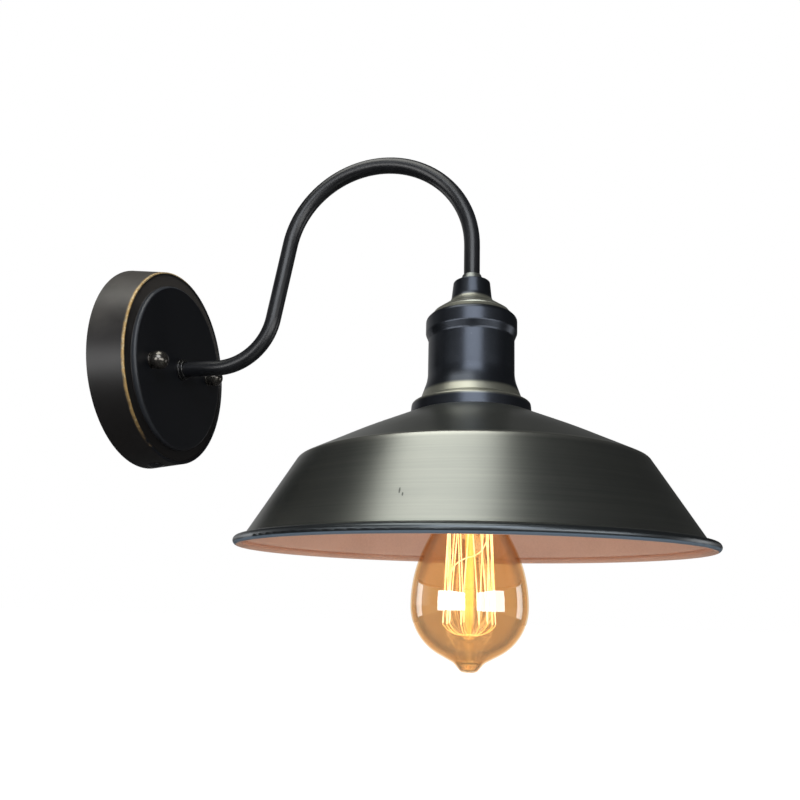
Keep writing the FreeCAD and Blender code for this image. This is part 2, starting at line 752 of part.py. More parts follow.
def arm_collar():
    """Return the stepped collar round the tube on the canopy's face."""
    outline = [
        (TUBE_RADIUS, FACE_OUT, 0.0),
        (COLLAR_RADIUS, FACE_OUT, 0.0),
        (COLLAR_RADIUS, FACE_OUT + COLLAR_FOOT, 0.5),
        (COLLAR_STEP_RADIUS, FACE_OUT + COLLAR_FOOT, 0.0),
        (COLLAR_STEP_RADIUS, FACE_OUT + COLLAR_LENGTH, 0.6),
        (TUBE_RADIUS, FACE_OUT + COLLAR_LENGTH, 0.0),
    ]
    return wall_turned(outline)


def toothed_washer(bore, start, direction):
    """Return a lock washer with teeth round its edge."""
    radius = TOOTHED_WASHER_RADIUS
    washer = Part.makeCylinder(radius, TOOTHED_WASHER_SHEET, start, direction)
    side = direction.cross(Vector(1, 0, 0))
    for tooth in range(WASHER_TEETH):
        angle = math.tau * tooth / WASHER_TEETH
        spoke = Vector(1, 0, 0) * math.cos(angle) + side * math.sin(angle)
        gap = Part.makeCylinder(
            WASHER_TOOTH_GAP, TOOTHED_WASHER_SHEET, start + spoke * radius, direction
        )
        washer = washer.cut(gap)
    return washer.cut(Part.makeCylinder(bore, TOOTHED_WASHER_SHEET, start, direction))


def bush_washer():
    """Return the toothed washer between the canopy and the bush's nut."""
    inside = FACE_OUT - CANOPY_SHEET
    return toothed_washer(BUSH_RADIUS + RUNNING_GAP, Vector(0, -inside, 0), Vector(0, 1, 0))


def bush_nut():
    """Return the hexagon nut that clamps the arm in the canopy."""
    seat = FACE_OUT - CANOPY_SHEET - TOOTHED_WASHER_SHEET
    return hexagon(
        BUSH_NUT_FLATS, Vector(0, -seat, 0), Vector(0, 1, 0), BUSH_NUT_HEIGHT, BUSH_RADIUS
    )


# ---------------------------------------------------------------- lamp head


def lamp_nipple():
    """Return the threaded nipple: a spigot in the tube and a long threaded pipe."""
    spigot = lamp_rod(TUBE_BORE, TUBE_END_HEIGHT + NIPPLE_SPIGOT_LENGTH, TUBE_END_HEIGHT)
    pipe = lamp_rod(NIPPLE_RADIUS, TUBE_END_HEIGHT, NIPPLE_BOTTOM)
    bore = lamp_rod(NIPPLE_BORE_RADIUS, TUBE_END_HEIGHT + NIPPLE_SPIGOT_LENGTH, NIPPLE_BOTTOM)
    return spigot.fuse(pipe).cut(bore)


def neck_collar():
    """Return the small bright collar where the tube meets the neck."""
    outline = [
        (NIPPLE_RADIUS, NECK_TOP, 0.0),
        (NECK_COLLAR_RADIUS, NECK_TOP, 0.0),
        (NECK_COLLAR_RADIUS, NECK_TOP + 0.4 * (NECK_COLLAR_TOP - NECK_TOP), 0.5),
        (NIPPLE_RADIUS + 0.6, NECK_COLLAR_TOP, 0.3),
        (NIPPLE_RADIUS, NECK_COLLAR_TOP, 0.0),
    ]
    return turned(outline)


def neck_cap():
    """Return the neck cap, which flares out onto the cup's shoulder."""
    outer = [
        (NIPPLE_RADIUS + SLIP_GAP, NECK_TOP, 0.0),
        (NECK_TOP_RADIUS, NECK_TOP, 0.8),
        (NECK_WAIST_RADIUS, NECK_WAIST_HEIGHT, NECK_COVE_RADIUS),
        (NECK_RIM_RADIUS, CUP_TOP + 0.7, 0.0),
        (NECK_RIM_RADIUS, CUP_TOP, 0.0),
    ]
    inner = offset_outline(outer[:-1], CUP_SHEET)
    inner[-1] = (NECK_RIM_RADIUS - 2 * CUP_SHEET, CUP_TOP, 0.0)
    return turned(outer, inner)


def cup_outline():
    """Return the cup's outer outline from its top hole to its flange's lower edge."""
    return [
        (NIPPLE_RADIUS + SLIP_GAP, CUP_TOP, 0.0),
        (CUP_SHOULDER_RADIUS, CUP_TOP, 1.0),
        (CUP_BEAD_RADIUS, CUP_BEAD_TOP, 2.5),
        (CUP_BEAD_RADIUS, CUP_BEAD_BOTTOM, 2.2),
        (CUP_WAIST_RADIUS, CUP_WAIST_TOP, 3.0),
        (CUP_WAIST_RADIUS, CUP_FLARE_TOP, 24.0),
        (CUP_FLARE_RADIUS, CUP_FLARE_BOTTOM, 0.0),
        (CUP_FLANGE_RADIUS - 0.7, CUP_FLANGE_TOP, 1.6),
        (CUP_FLANGE_RADIUS, CUP_BOTTOM, 0.0),
    ]


def socket_cup():
    """Return the cup that covers the lampholder."""
    outer = cup_outline()
    inner = offset_outline(outer, CUP_SHEET)
    inner[-1] = (inner[-1][0], CUP_BOTTOM, 0.0)
    return turned(outer, inner)


def cup_washer():
    """Return the toothed washer under the cup's top."""
    seat = Vector(0, -REACH, CUP_TOP - CUP_SHEET)
    return toothed_washer(NIPPLE_RADIUS + RUNNING_GAP, seat, Vector(0, 0, -1))


def cup_nut():
    """Return the nut that clamps the cup and the neck cap on the nipple."""
    seat = Vector(0, -REACH, CUP_TOP - CUP_SHEET - TOOTHED_WASHER_SHEET)
    return hexagon(NIPPLE_NUT_FLATS, seat, Vector(0, 0, -1), NIPPLE_NUT_HEIGHT, NIPPLE_RADIUS)


def shade():
    """Return the shade: seat, domed crown, shoulder, skirt and rolled rim."""
    roll_height = SHADE_TOP - SHADE_HEIGHT + SHADE_ROLL_RADIUS
    roll_centre = SHADE_RIM_RADIUS - SHADE_ROLL_RADIUS
    outer = [
        (HOLDER_RADIUS + 2 * SLIP_GAP, SHADE_TOP, 0.0),
        (SHADE_SEAT_RADIUS, SHADE_TOP, 3.0),
        (SHADE_CROWN_RADIUS, SHADE_TOP - SHADE_CROWN_DROP, SHADE_CROWN_ARC),
        (SHADE_SHOULDER_RADIUS, SHADE_TOP - SHADE_SHOULDER_DROP, 2.5),
        (SHADE_SKIRT_RADIUS, SHADE_TOP - SHADE_SKIRT_DROP, 1.5),
        (roll_centre, roll_height + SHADE_ROLL_RADIUS - 0.2, 0.0),
    ]
    sheet = turned(outer, offset_outline(outer, SHADE_SHEET))
    centre = Vector(0, -REACH, roll_height)
    roll = Part.makeTorus(roll_centre, SHADE_ROLL_RADIUS, centre)
    return sheet.fuse(roll).removeSplitter()


def ring_grooves(radius, depth, top, pitch, count):
    """Return the outline points of rounded thread rings, from the top down."""
    points = []
    for turn in range(count):
        crest = top - turn * pitch
        points.append((radius - depth, crest, 0.3 * depth))
        points.append((radius, crest - 0.3 * pitch, 0.3 * depth))
        points.append((radius, crest - 0.6 * pitch, 0.3 * depth))
        points.append((radius - depth, crest - 0.9 * pitch, 0.3 * depth))
    return points


def holder_cap():
    """Return the lampholder's cap with its threaded entry bush."""
    outer = [
        (HOLDER_BUSH_RADIUS, HOLDER_TOP, 0.0),
        (HOLDER_BUSH_RADIUS, HOLDER_BUSH_BOTTOM, 1.0),
        (HOLDER_RADIUS - HOLDER_CONE_RUN, HOLDER_BUSH_BOTTOM - HOLDER_CONE_DROP, 2.0),
        (HOLDER_RADIUS, HOLDER_BUSH_BOTTOM - HOLDER_SHOULDER_DROP, 2.0),
        (HOLDER_RADIUS, HOLDER_JOINT, 0.0),
    ]
    bore = HOLDER_RADIUS - HOLDER_CAP_WALL
    ceiling = HOLDER_BUSH_BOTTOM - HOLDER_CAP_WALL
    inner = [
        (NIPPLE_RADIUS, HOLDER_TOP, 0.0),
        (NIPPLE_RADIUS, ceiling, 0.0),
        (bore - HOLDER_CONE_RUN, ceiling - HOLDER_CONE_DROP, 1.0),
        (bore, ceiling - HOLDER_SHOULDER_DROP, 1.0),
        (bore, HOLDER_JOINT, 0.0),
    ]
    cap = turned(outer, inner)
    return cap.cut(grub_rod(0, 2 * HOLDER_BUSH_RADIUS))


def grub_height():
    """Return the height of the grub screw in the holder's entry bush."""
    return (HOLDER_TOP + HOLDER_BUSH_BOTTOM) / 2


def grub_rod(start, end):
    """Return a rod that points out sideways, between two distances from the lamp's axis."""
    height = grub_height()
    return rod(GRUB_RADIUS, Vector(start, -REACH, height), Vector(end, -REACH, height))


def holder_grub_screw():
    """Return the grub screw that stops the holder from turning on the nipple."""
    end = NIPPLE_RADIUS + GRUB_LENGTH
    corner = Vector(end - SLOT_DEPTH, -REACH - GRUB_RADIUS, grub_height() - SLOT_WIDTH / 2)
    slot = Part.makeBox(SLOT_DEPTH, 2 * GRUB_RADIUS, SLOT_WIDTH, corner)
    return grub_rod(NIPPLE_RADIUS, end).cut(slot)


def holder_body():
    """Return the lampholder's body with its outer thread and inner ledge."""
    thread_top = HOLDER_LEDGE
    pitch = (thread_top - HOLDER_BOTTOM - 2.0) / THREAD_RINGS
    outer = [(HOLDER_RADIUS, HOLDER_JOINT, 0.0)]
    outer += [(HOLDER_RADIUS, thread_top + 1.0, 0.0)]
    outer += ring_grooves(HOLDER_RADIUS, THREAD_RING_DEPTH, thread_top, pitch, THREAD_RINGS)
    outer += [(HOLDER_RADIUS - THREAD_RING_DEPTH, HOLDER_BOTTOM, 0.0)]
    inner = polygon(
        [
            (HOLDER_UPPER_BORE, HOLDER_JOINT),
            (HOLDER_UPPER_BORE, HOLDER_LEDGE),
            (HOLDER_LOWER_BORE, HOLDER_LEDGE),
            (HOLDER_LOWER_BORE, HOLDER_BOTTOM),
        ]
    )
    return turned(outer, inner)


def holder_core():
    """Return the porcelain core that carries the contacts, with its wire holes."""
    core = lamp_rod(HOLDER_UPPER_BORE, CORE_TOP, HOLDER_LEDGE)
    for side in (-1, 1):
        x = side * POST_OFFSET
        core = core.cut(
            rod(POST_PIN_RADIUS, Vector(x, -REACH, HOLDER_LEDGE), Vector(x, -REACH, CORE_TOP))
        )
    return core


def screw_shell():
    """Return the brass screw shell under the core."""
    radius = SHELL_BORE + SCREW_SHELL_WALL
    sleeve = lamp_rod(radius, HOLDER_LEDGE, SCREW_SHELL_BOTTOM)
    flange = lamp_rod(HOLDER_LOWER_BORE, HOLDER_LEDGE, HOLDER_LEDGE - SCREW_SHELL_WALL)
    bore = lamp_rod(SHELL_BORE, HOLDER_LEDGE, SCREW_SHELL_BOTTOM)
    return sleeve.fuse(flange).removeSplitter().cut(bore)


def centre_contact():
    """Return the springy centre contact: a strip folded back under itself."""
    low = CONTACT_TOP + SEAT_GAP
    half = TONGUE_LENGTH / 2
    side = -REACH - TONGUE_WIDTH / 2
    strip = (TONGUE_LENGTH, TONGUE_WIDTH, TONGUE_SHEET)
    foot = Part.makeBox(*strip, Vector(-half, side, HOLDER_LEDGE - TONGUE_SHEET))
    tongue = Part.makeBox(*strip, Vector(-half, side, low))
    wall = Part.makeBox(
        TONGUE_SHEET, TONGUE_WIDTH, HOLDER_LEDGE - low, Vector(half - TONGUE_SHEET, side, low)
    )
    return foot.fuse([wall, tongue]).removeSplitter()


def terminal_posts():
    """Return the two brass posts that clamp the wires on the core."""
    posts = []
    for side in (-1, 1):
        x = side * POST_OFFSET
        block = Part.makeBox(
            POST_WIDTH,
            POST_WIDTH,
            POST_HEIGHT,
            Vector(x - POST_WIDTH / 2, -REACH - POST_WIDTH / 2, CORE_TOP),
        )
        pin = rod(POST_PIN_RADIUS, Vector(x, -REACH, HOLDER_LEDGE), Vector(x, -REACH, CORE_TOP))
        drill = rod(
            POST_SCREW_RADIUS,
            Vector(x, -REACH - POST_WIDTH / 2, CORE_TOP + POST_HEIGHT / 2),
            Vector(x, -REACH, CORE_TOP + POST_HEIGHT / 2),
        )
        posts.append(block.fuse(pin).removeSplitter().cut(drill))
    return Part.makeCompound(posts)


def terminal_post_screws():
    """Return the screws of the two posts, with slotted heads."""
    screws = []
    height = CORE_TOP + POST_HEIGHT / 2
    for side in (-1, 1):
        x = side * POST_OFFSET
        face = -REACH - POST_WIDTH / 2
        front = face - POST_SCREW_HEAD_HEIGHT
        shaft = rod(POST_SCREW_RADIUS, Vector(x, face, height), Vector(x, -REACH, height))
        head = rod(POST_SCREW_HEAD_RADIUS, Vector(x, front, height), Vector(x, face, height))
        corner = Vector(x - POST_SCREW_HEAD_RADIUS, front, height - SLOT_WIDTH / 2)
        slot = Part.makeBox(2 * POST_SCREW_HEAD_RADIUS, SLOT_DEPTH, SLOT_WIDTH, corner)
        screws.append(shaft.fuse(head).removeSplitter().cut(slot))
    return Part.makeCompound(screws)


def shade_ring():
    """Return the threaded ring that clamps the shade, with finger notches."""
    bore = HOLDER_RADIUS + RUNNING_GAP
    outline = [
        (bore, RING_TOP, 0.0),
        (SHADE_RING_RADIUS, RING_TOP, 0.4),
        (SHADE_RING_RADIUS, RING_TOP - SHADE_RING_FLANGE, 0.4),
        (SHADE_RING_HUB_RADIUS, RING_TOP - SHADE_RING_FLANGE, 0.3),
        (SHADE_RING_HUB_RADIUS, RING_TOP - SHADE_RING_HEIGHT, 0.8),
        (bore, RING_TOP - SHADE_RING_HEIGHT, 0.0),
    ]
    ring = turned(outline)
    for notch in range(SHADE_RING_NOTCHES):
        angle = math.tau * notch / SHADE_RING_NOTCHES
        x = SHADE_RING_RADIUS * math.cos(angle)
        y = SHADE_RING_RADIUS * math.sin(angle) - REACH
        top = Vector(x, y, RING_TOP)
        ring = ring.cut(rod(SHADE_RING_NOTCH_RADIUS, top - Vector(0, 0, SHADE_RING_FLANGE), top))
    return ring


# ---------------------------------------------------------------- bulb


def bulb_cap():
    """Return the bulb's ringed brass screw cap with its skirt."""
    root = CAP_RADIUS - CAP_RING_DEPTH
    flare = CAP_SKIRT_TOP - CAP_SKIRT_FLARE
    outer = [(INSULATOR_RADIUS, CAP_TOP + CAP_CONE_RISE, 0.0), (root, CAP_TOP, 0.6)]
    outer += ring_grooves(CAP_RADIUS, CAP_RING_DEPTH, CAP_TOP - 0.8, CAP_PITCH, CAP_TURNS)
    outer += [
        (root, CAP_SKIRT_TOP, 0.0),
        (CAP_SKIRT_RADIUS, flare, 0.4),
        (CAP_SKIRT_RADIUS, CAP_SKIRT_BOTTOM, 0.0),
    ]
    inner = [
        (INSULATOR_RADIUS, CAP_TOP + CAP_CONE_RISE - CAP_WALL, 0.0),
        (root - CAP_WALL, CAP_TOP - CAP_WALL, 0.0),
        (root - CAP_WALL, CAP_SKIRT_TOP - CAP_WALL, 0.0),
        (CAP_SKIRT_RADIUS - CAP_WALL, flare - CAP_WALL, 0.0),
        (CAP_SKIRT_RADIUS - CAP_WALL, CAP_SKIRT_BOTTOM, 0.0),
    ]
    return turned(outer, inner)


def bulb_insulator():
    """Return the black glass insulator between the cap and the contact."""
    bottom = INSULATOR_TOP - INSULATOR_DEPTH
    outline = [
        (0.0, INSULATOR_TOP),
        (CONTACT_RADIUS, INSULATOR_TOP),
        (INSULATOR_RADIUS, CAP_TOP + CAP_CONE_RISE),
        (INSULATOR_RADIUS, CAP_TOP + CAP_CONE_RISE - CAP_WALL),
        (CONTACT_RADIUS, bottom),
        (0.0, bottom),
    ]
    return turned(polygon(outline))


def bulb_contact():
    """Return the domed solder contact on the insulator."""
    outline = [
        (0.0, CONTACT_TOP, 0.0),
        (0.5 * CONTACT_RADIUS, CONTACT_TOP, 1.2),
        (CONTACT_RADIUS - CONTACT_CHAMFER, INSULATOR_TOP, 0.0),
        (0.0, INSULATOR_TOP, 0.0),
    ]
    return turned(outline)


def glass_outline():
    """Return the envelope's outer outline from its neck to its tip."""
    return [
        (GLASS_NECK_RADIUS, GLASS_NECK_TOP, 0.0),
        (GLASS_THROAT_RADIUS, GLASS_THROAT, 68.0),
        (GLASS_RADIUS, GLASS_FLANK, 75.0),
        (GLASS_RADIUS, GLASS_BASE, 30.0),
        (GLASS_NIPPLE_RADIUS, GLASS_NIPPLE, 6.0),
        (GLASS_TIP_RADIUS, GLASS_TIP, 3.0),
        (0.0, GLASS_TIP, 0.0),
    ]


def bulb_glass():
    """Return the envelope as a thin shell."""
    outer = glass_outline()
    inner = offset_outline(outer, GLASS_WALL)
    inner[-1] = (0.0, inner[-1][1], 0.0)
    return turned(outer, inner)


def bulb_stem():
    """Return the glass stem: flare in the neck, pinch, and the long rod with its pointed end."""
    flare = GLASS_NECK_RADIUS - GLASS_WALL
    outline = [
        (0.0, GLASS_NECK_TOP, 0.0),
        (flare, GLASS_NECK_TOP, 0.0),
        (flare, GLASS_NECK_TOP - 1.6, 0.0),
        (STEM_RADIUS, GLASS_NECK_TOP - STEM_FLARE_DROP, STEM_FLARE_RADIUS),
        (STEM_RADIUS, STEM_BOTTOM + 3.0, 2.0),
        (ROD_RADIUS, STEM_BOTTOM, 0.0),
        (ROD_RADIUS, ROD_BOTTOM, 2.0),
        (ROD_TIP_RADIUS, ROD_TIP, 0.0),
        (0.0, ROD_TIP, 0.0),
    ]
    return turned(outline).cut(bulb_leads()).cut(bulb_supports())


def cage_angle(hook):
    """Return the angle of one hook round the filament cage."""
    return math.tau * hook / CAGE_HOOKS


def cage_ray(hook, radius, height):
    """Return the point at a radius and height in the direction of one hook."""
    angle = cage_angle(hook)
    return Vector(radius * math.cos(angle), radius * math.sin(angle) - REACH, height)


def cage_point(hook):
    """Return the place of one hook: even ones are at the top, odd ones at the bottom."""
    if hook % 2 == 0:
        return cage_ray(hook, CAGE_TOP_RADIUS, CAGE_TOP)
    return cage_ray(hook, CAGE_BOTTOM_RADIUS, CAGE_BOTTOM)


def bulb_filament():
    """Return the filament: one wire that runs up and down round the cage."""
    wire = Part.makeSphere(FILAMENT_RADIUS, cage_point(0))
    for hook in range(CAGE_HOOKS - 1):
        end = cage_point(hook + 1)
        strand = rod(FILAMENT_RADIUS, cage_point(hook), end)
        wire = wire.fuse([strand, Part.makeSphere(FILAMENT_RADIUS, end)])
    return wire.cut(bulb_leads())


def bulb_supports():
    """Return the hooks that hold the filament: spokes from the stem and from its pointed end."""
    spokes = []
    for hook in range(1, CAGE_HOOKS - 1):
        if hook % 2 == 0:
            grip = cage_ray(hook, STEM_RADIUS - 0.6, CAGE_TOP - 3.0)
            tip = cage_ray(hook, CAGE_TOP_RADIUS - FILAMENT_RADIUS - SUPPORT_RADIUS, CAGE_TOP)
            spokes.append(rod(SUPPORT_RADIUS, grip, tip))
        else:
            grip = cage_ray(hook, 0.6 * ROD_TIP_RADIUS, ROD_TIP + 1.2)
            middle = cage_ray(hook, 0.62 * CAGE_BOTTOM_RADIUS, 0.25 * CAGE_BOTTOM + 0.75 * ROD_TIP)
            tip = cage_ray(hook, CAGE_BOTTOM_RADIUS, CAGE_BOTTOM - FILAMENT_RADIUS - SUPPORT_RADIUS)
            spokes.append(tube_along([Part.Arc(grip, middle, tip).toShape()], SUPPORT_RADIUS))
    return Part.makeCompound(spokes)


def bulb_leads():
    """Return the two lead wires, sealed in the stem and bent out to the filament's ends."""
    leads = []
    for hook in (0, CAGE_HOOKS - 1):
        side = 1 if hook == 0 else -1
        root = Vector(side * LEAD_ROOT, -REACH, GLASS_NECK_TOP)
        corner = Vector(side * LEAD_ROOT, -REACH, LEAD_EXIT)
        tip = cage_point(hook)
        knee = Part.makeSphere(LEAD_RADIUS, corner)
        leads.append(rod(LEAD_RADIUS, root, corner).fuse([knee, rod(LEAD_RADIUS, corner, tip)]))
    return Part.makeCompound(leads)


# ---------------------------------------------------------------- wires


def block_entry(way):
    """Return the point where a wire meets the underside of the terminal block."""
    return Vector(way_x(way), -WIRE_PLANE_OUT, BLOCK_BOTTOM)


def wire_route(side, way):
    """Return one lamp wire's path from the terminal block to its post."""
    x = side * WIRE_SPREAD
    rise = TUBE_START_OUT - 1.0 - WIRE_PLANE_OUT
    turn_start = Vector(x, -WIRE_PLANE_OUT, rise)
    turn_end = Vector(x, -(WIRE_PLANE_OUT + rise), 0)
    corner = Vector(x, -WIRE_PLANE_OUT, 0)
    shift = abs(way_x(way) - x)
    side_way = Vector(1 if way_x(way) > x else -1, 0, 0)
    edges, top = swerve(turn_start, Vector(0, 0, 1), side_way, shift, WIRE_BEND_RADIUS)
    tube = arm_edges(x)
    low = Vector(x, -REACH, NIPPLE_BOTTOM)
    drift, bottom = swerve(
        low, Vector(0, 0, -1), Vector(side, 0, 0), POST_OFFSET - WIRE_SPREAD, WIRE_BEND_RADIUS + 1
    )
    post = Vector(side * POST_OFFSET, -REACH, CORE_TOP + POST_HEIGHT)
    route = [straight(block_entry(way), top)]
    route += [reversed_edge(edge) for edge in reversed(edges)]
    route += [bend(turn_start, corner, turn_end), straight(turn_end, tube[0].Vertexes[0].Point)]
    route += tube
    route += [straight(Vector(x, -REACH, TUBE_END_HEIGHT), low)]
    return route + drift + [straight(bottom, post)]


def reversed_edge(edge):
    """Return the same arc, drawn from its other end."""
    first = edge.valueAt(edge.LastParameter)
    middle = edge.valueAt((edge.FirstParameter + edge.LastParameter) / 2)
    return Part.Arc(first, middle, edge.valueAt(edge.FirstParameter)).toShape()


def lamp_wire(side, way):
    """Return one insulated wire as a solid."""
    return tube_along(wire_route(side, way), WIRE_RADIUS)


def earth_wire():
    """Return the short earth wire from the block's left way to the ring terminal."""
    start = block_entry(-1)
    radius = EARTH_BEND_RADIUS
    x = -EARTH_SCREW_OFFSET
    low = EARTH_HEAD_RADIUS + LUG_BARREL_GAP
    turn_top = Vector(start.x, start.y, BLOCK_BOTTOM - 1.0)
    level = turn_top.z - radius
    corner_right = Vector(start.x, start.y, level)
    right_end = Vector(start.x - radius, start.y, level)
    left_end = Vector(x + radius, start.y, level)
    corner_left = Vector(x, start.y, level)
    down = Vector(x, start.y, level - radius)
    edges = [
        straight(start, turn_top),
        bend(turn_top, corner_right, right_end),
        straight(right_end, left_end),
        bend(left_end, corner_left, down),
        straight(down, Vector(x, start.y, low)),
    ]
    return tube_along(edges, WIRE_RADIUS)


# ---------------------------------------------------------------- all pieces

PIECES = {
    "wall_bracket": wall_bracket,
    "canopy_studs": canopy_studs,
    "stud_lock_nuts": stud_lock_nuts,
    "earth_screw": earth_screw,
    "earth_ring_terminal": earth_ring_terminal,
    "terminal_block": terminal_block,
    "terminal_block_screws": terminal_block_screws,
    "canopy": canopy,
    "canopy_plug": canopy_plug,
    "left_nut_washer": lambda: nut_washer(-1),
    "left_ball_nut": lambda: ball_nut(-1),
    "right_nut_washer": lambda: nut_washer(1),
    "right_ball_nut": lambda: ball_nut(1),
    "arm_collar": arm_collar,
    "arm_tube": arm_tube,
    "arm_bush": arm_bush,
    "bush_washer": bush_washer,
    "bush_nut": bush_nut,
    "lamp_nipple": lamp_nipple,
    "neck_collar": neck_collar,
    "neck_cap": neck_cap,
    "socket_cup": socket_cup,
    "cup_washer": cup_washer,
    "cup_nut": cup_nut,
    "holder_cap": holder_cap,
    "holder_grub_screw": holder_grub_screw,
    "holder_body": holder_body,
    "holder_core": holder_core,
    "screw_shell": screw_shell,
    "centre_contact": centre_contact,
    "terminal_posts": terminal_posts,
    "terminal_post_screws": terminal_post_screws,
    "shade": shade,
    "shade_ring": shade_ring,
    "bulb_contact": bulb_contact,
    "bulb_insulator": bulb_insulator,
    "bulb_cap": bulb_cap,
    "bulb_glass": bulb_glass,
    "bulb_stem": bulb_stem,
    "bulb_leads": bulb_leads,
    "bulb_supports": bulb_supports,
    "bulb_filament": bulb_filament,
    "live_wire": lambda: lamp_wire(-1, 0),
    "neutral_wire": lambda: lamp_wire(1, 1),
    "earth_wire": earth_wire,
}


def main():
    """Build every piece and write its file."""
    os.makedirs("parts", exist_ok=True)
    for name, build in PIECES.items():
        save(name, build())


main()
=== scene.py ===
"""Finishes, light and camera of a gooseneck wall sconce.

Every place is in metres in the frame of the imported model: the wall is the plane y = 0, the arm
reaches out along -Y and +Z is up. The lamp's axis is upright and stands at the shade's centre.
"""

import logging
import math
from abc import ABC, abstractmethod
from collections.abc import Callable
from dataclasses import dataclass
from enum import Enum
from typing import Any, TypeAlias

import bpy
from mathutils import Matrix, Vector


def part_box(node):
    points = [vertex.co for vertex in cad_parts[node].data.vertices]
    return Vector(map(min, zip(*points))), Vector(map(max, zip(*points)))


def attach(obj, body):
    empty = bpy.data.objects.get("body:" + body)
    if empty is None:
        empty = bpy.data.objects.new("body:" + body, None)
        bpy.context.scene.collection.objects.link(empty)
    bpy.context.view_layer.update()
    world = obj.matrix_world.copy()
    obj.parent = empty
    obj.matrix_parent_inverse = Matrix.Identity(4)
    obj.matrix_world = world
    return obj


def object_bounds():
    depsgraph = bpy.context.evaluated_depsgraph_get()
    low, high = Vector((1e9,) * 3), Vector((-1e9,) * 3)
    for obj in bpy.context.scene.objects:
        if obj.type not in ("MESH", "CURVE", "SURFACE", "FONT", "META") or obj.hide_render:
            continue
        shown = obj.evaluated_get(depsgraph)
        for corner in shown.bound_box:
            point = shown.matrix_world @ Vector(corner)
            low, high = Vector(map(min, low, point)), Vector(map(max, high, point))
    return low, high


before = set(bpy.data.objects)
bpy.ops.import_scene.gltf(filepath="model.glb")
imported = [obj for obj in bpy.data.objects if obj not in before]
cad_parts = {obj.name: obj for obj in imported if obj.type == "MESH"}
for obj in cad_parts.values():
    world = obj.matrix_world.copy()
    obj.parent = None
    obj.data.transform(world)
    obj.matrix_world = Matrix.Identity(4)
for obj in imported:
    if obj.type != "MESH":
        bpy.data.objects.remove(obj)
CAD_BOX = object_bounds()

Triple: TypeAlias = tuple[float, float, float]
Colour: TypeAlias = Triple
Span: TypeAlias = tuple[float, float]
Term: TypeAlias = "Link | float"

log = logging.getLogger("sconce")

WHITE: Colour = (1.0, 1.0, 1.0)
NOISE_MIDDLE = 0.5
GLASS_IOR = 1.5


# ---------------------------------------------------------------- shader graphs


@dataclass(frozen=True)
class Band:
    """A range of values with soft edges.

    Attributes:
        centre: its middle.
        half: how far the full value reaches on each side.
        soft: the width of the fade beyond it.
    """

    centre: float
    half: float
    soft: float

    def moved(self, by: float) -> "Band":
        """Return the same band about a middle that lies further up by this much."""
        return Band(self.centre + by, self.half, self.soft)


@dataclass(frozen=True)
class Grain:
    """Soft random variation, from about 0.25 to 0.75 where it has no span.

    Attributes:
        scale: its features in each metre, or one number for each of x, y and z.
        detail: how many finer layers it has.
        span: the noise values that become 0 and 1, with a smooth step between them.
    """

    scale: float | Triple
    detail: float = 2.0
    span: Span | None = None


@dataclass(frozen=True)
class Lines:
    """Streaks that run round an axis, as a spinning tool leaves them.

    Attributes:
        per_metre: how many streaks there are across a metre of profile.
        sweep: how often a streak changes on its way round.
    """

    per_metre: float
    sweep: float
    detail: float = 3.0


@dataclass(frozen=True)
class Relief:
    """Fine relief of a surface: how much of it shows, and its depth in metres."""

    strength: float
    depth: float


def _operator(operation: str, swapped: bool = False) -> Callable[["Link", Term], "Link"]:
    """Make the method behind an operator of links.

    Args:
        operation: the Math node's operation.
        swapped: whether the link is the operator's right side.

    Returns:
        The method, which adds one Math node.
    """

    def apply(link: "Link", other: Term) -> "Link":
        """Return the operation's result."""
        return link.combine(operation, *((other, link) if swapped else (link, other)))

    return apply


class Link:
    """An output socket of a shader node that takes part in formulas."""

    def __init__(self, graph: "Graph", socket: bpy.types.NodeSocket) -> None:
        """Keep the graph and the socket that the formulas use."""
        self.graph = graph
        self.socket = socket

    def combine(self, operation: str, *terms: Term) -> "Link":
        """Add one Math node on these terms."""
        return self.graph.node("ShaderNodeMath", {"operation": operation}, dict(enumerate(terms)))

    __add__ = _operator("ADD")
    __radd__ = _operator("ADD")
    __sub__ = _operator("SUBTRACT")
    __rsub__ = _operator("SUBTRACT", swapped=True)
    __mul__ = _operator("MULTIPLY")
    __truediv__ = _operator("DIVIDE")

    def rise(self, low: float, high: float) -> "Link":
        """Return 0 below low and 1 above high, with a smooth step between them.

        Args:
            low: where the step starts.
            high: where it ends; below low, the step falls instead.

        Returns:
            The stepped value.
        """
        values = {"Value": self, "From Min": min(low, high), "From Max": max(low, high)}
        step = self.graph.node("ShaderNodeMapRange", {"interpolation_type": "SMOOTHSTEP"}, values)
        return step if low <= high else 1 - step

    def within(self, band: Band) -> "Link":
        """Return 1 within a band of values and 0 outside it."""
        distance = self.combine("ABSOLUTE", self - band.centre)
        return distance.rise(band.half + band.soft, band.half)

    def either(self, other: "Link") -> "Link":
        """Return a mask that is 1 where this mask or another one is 1."""
        return (self + other).rise(0.0, 1.0)


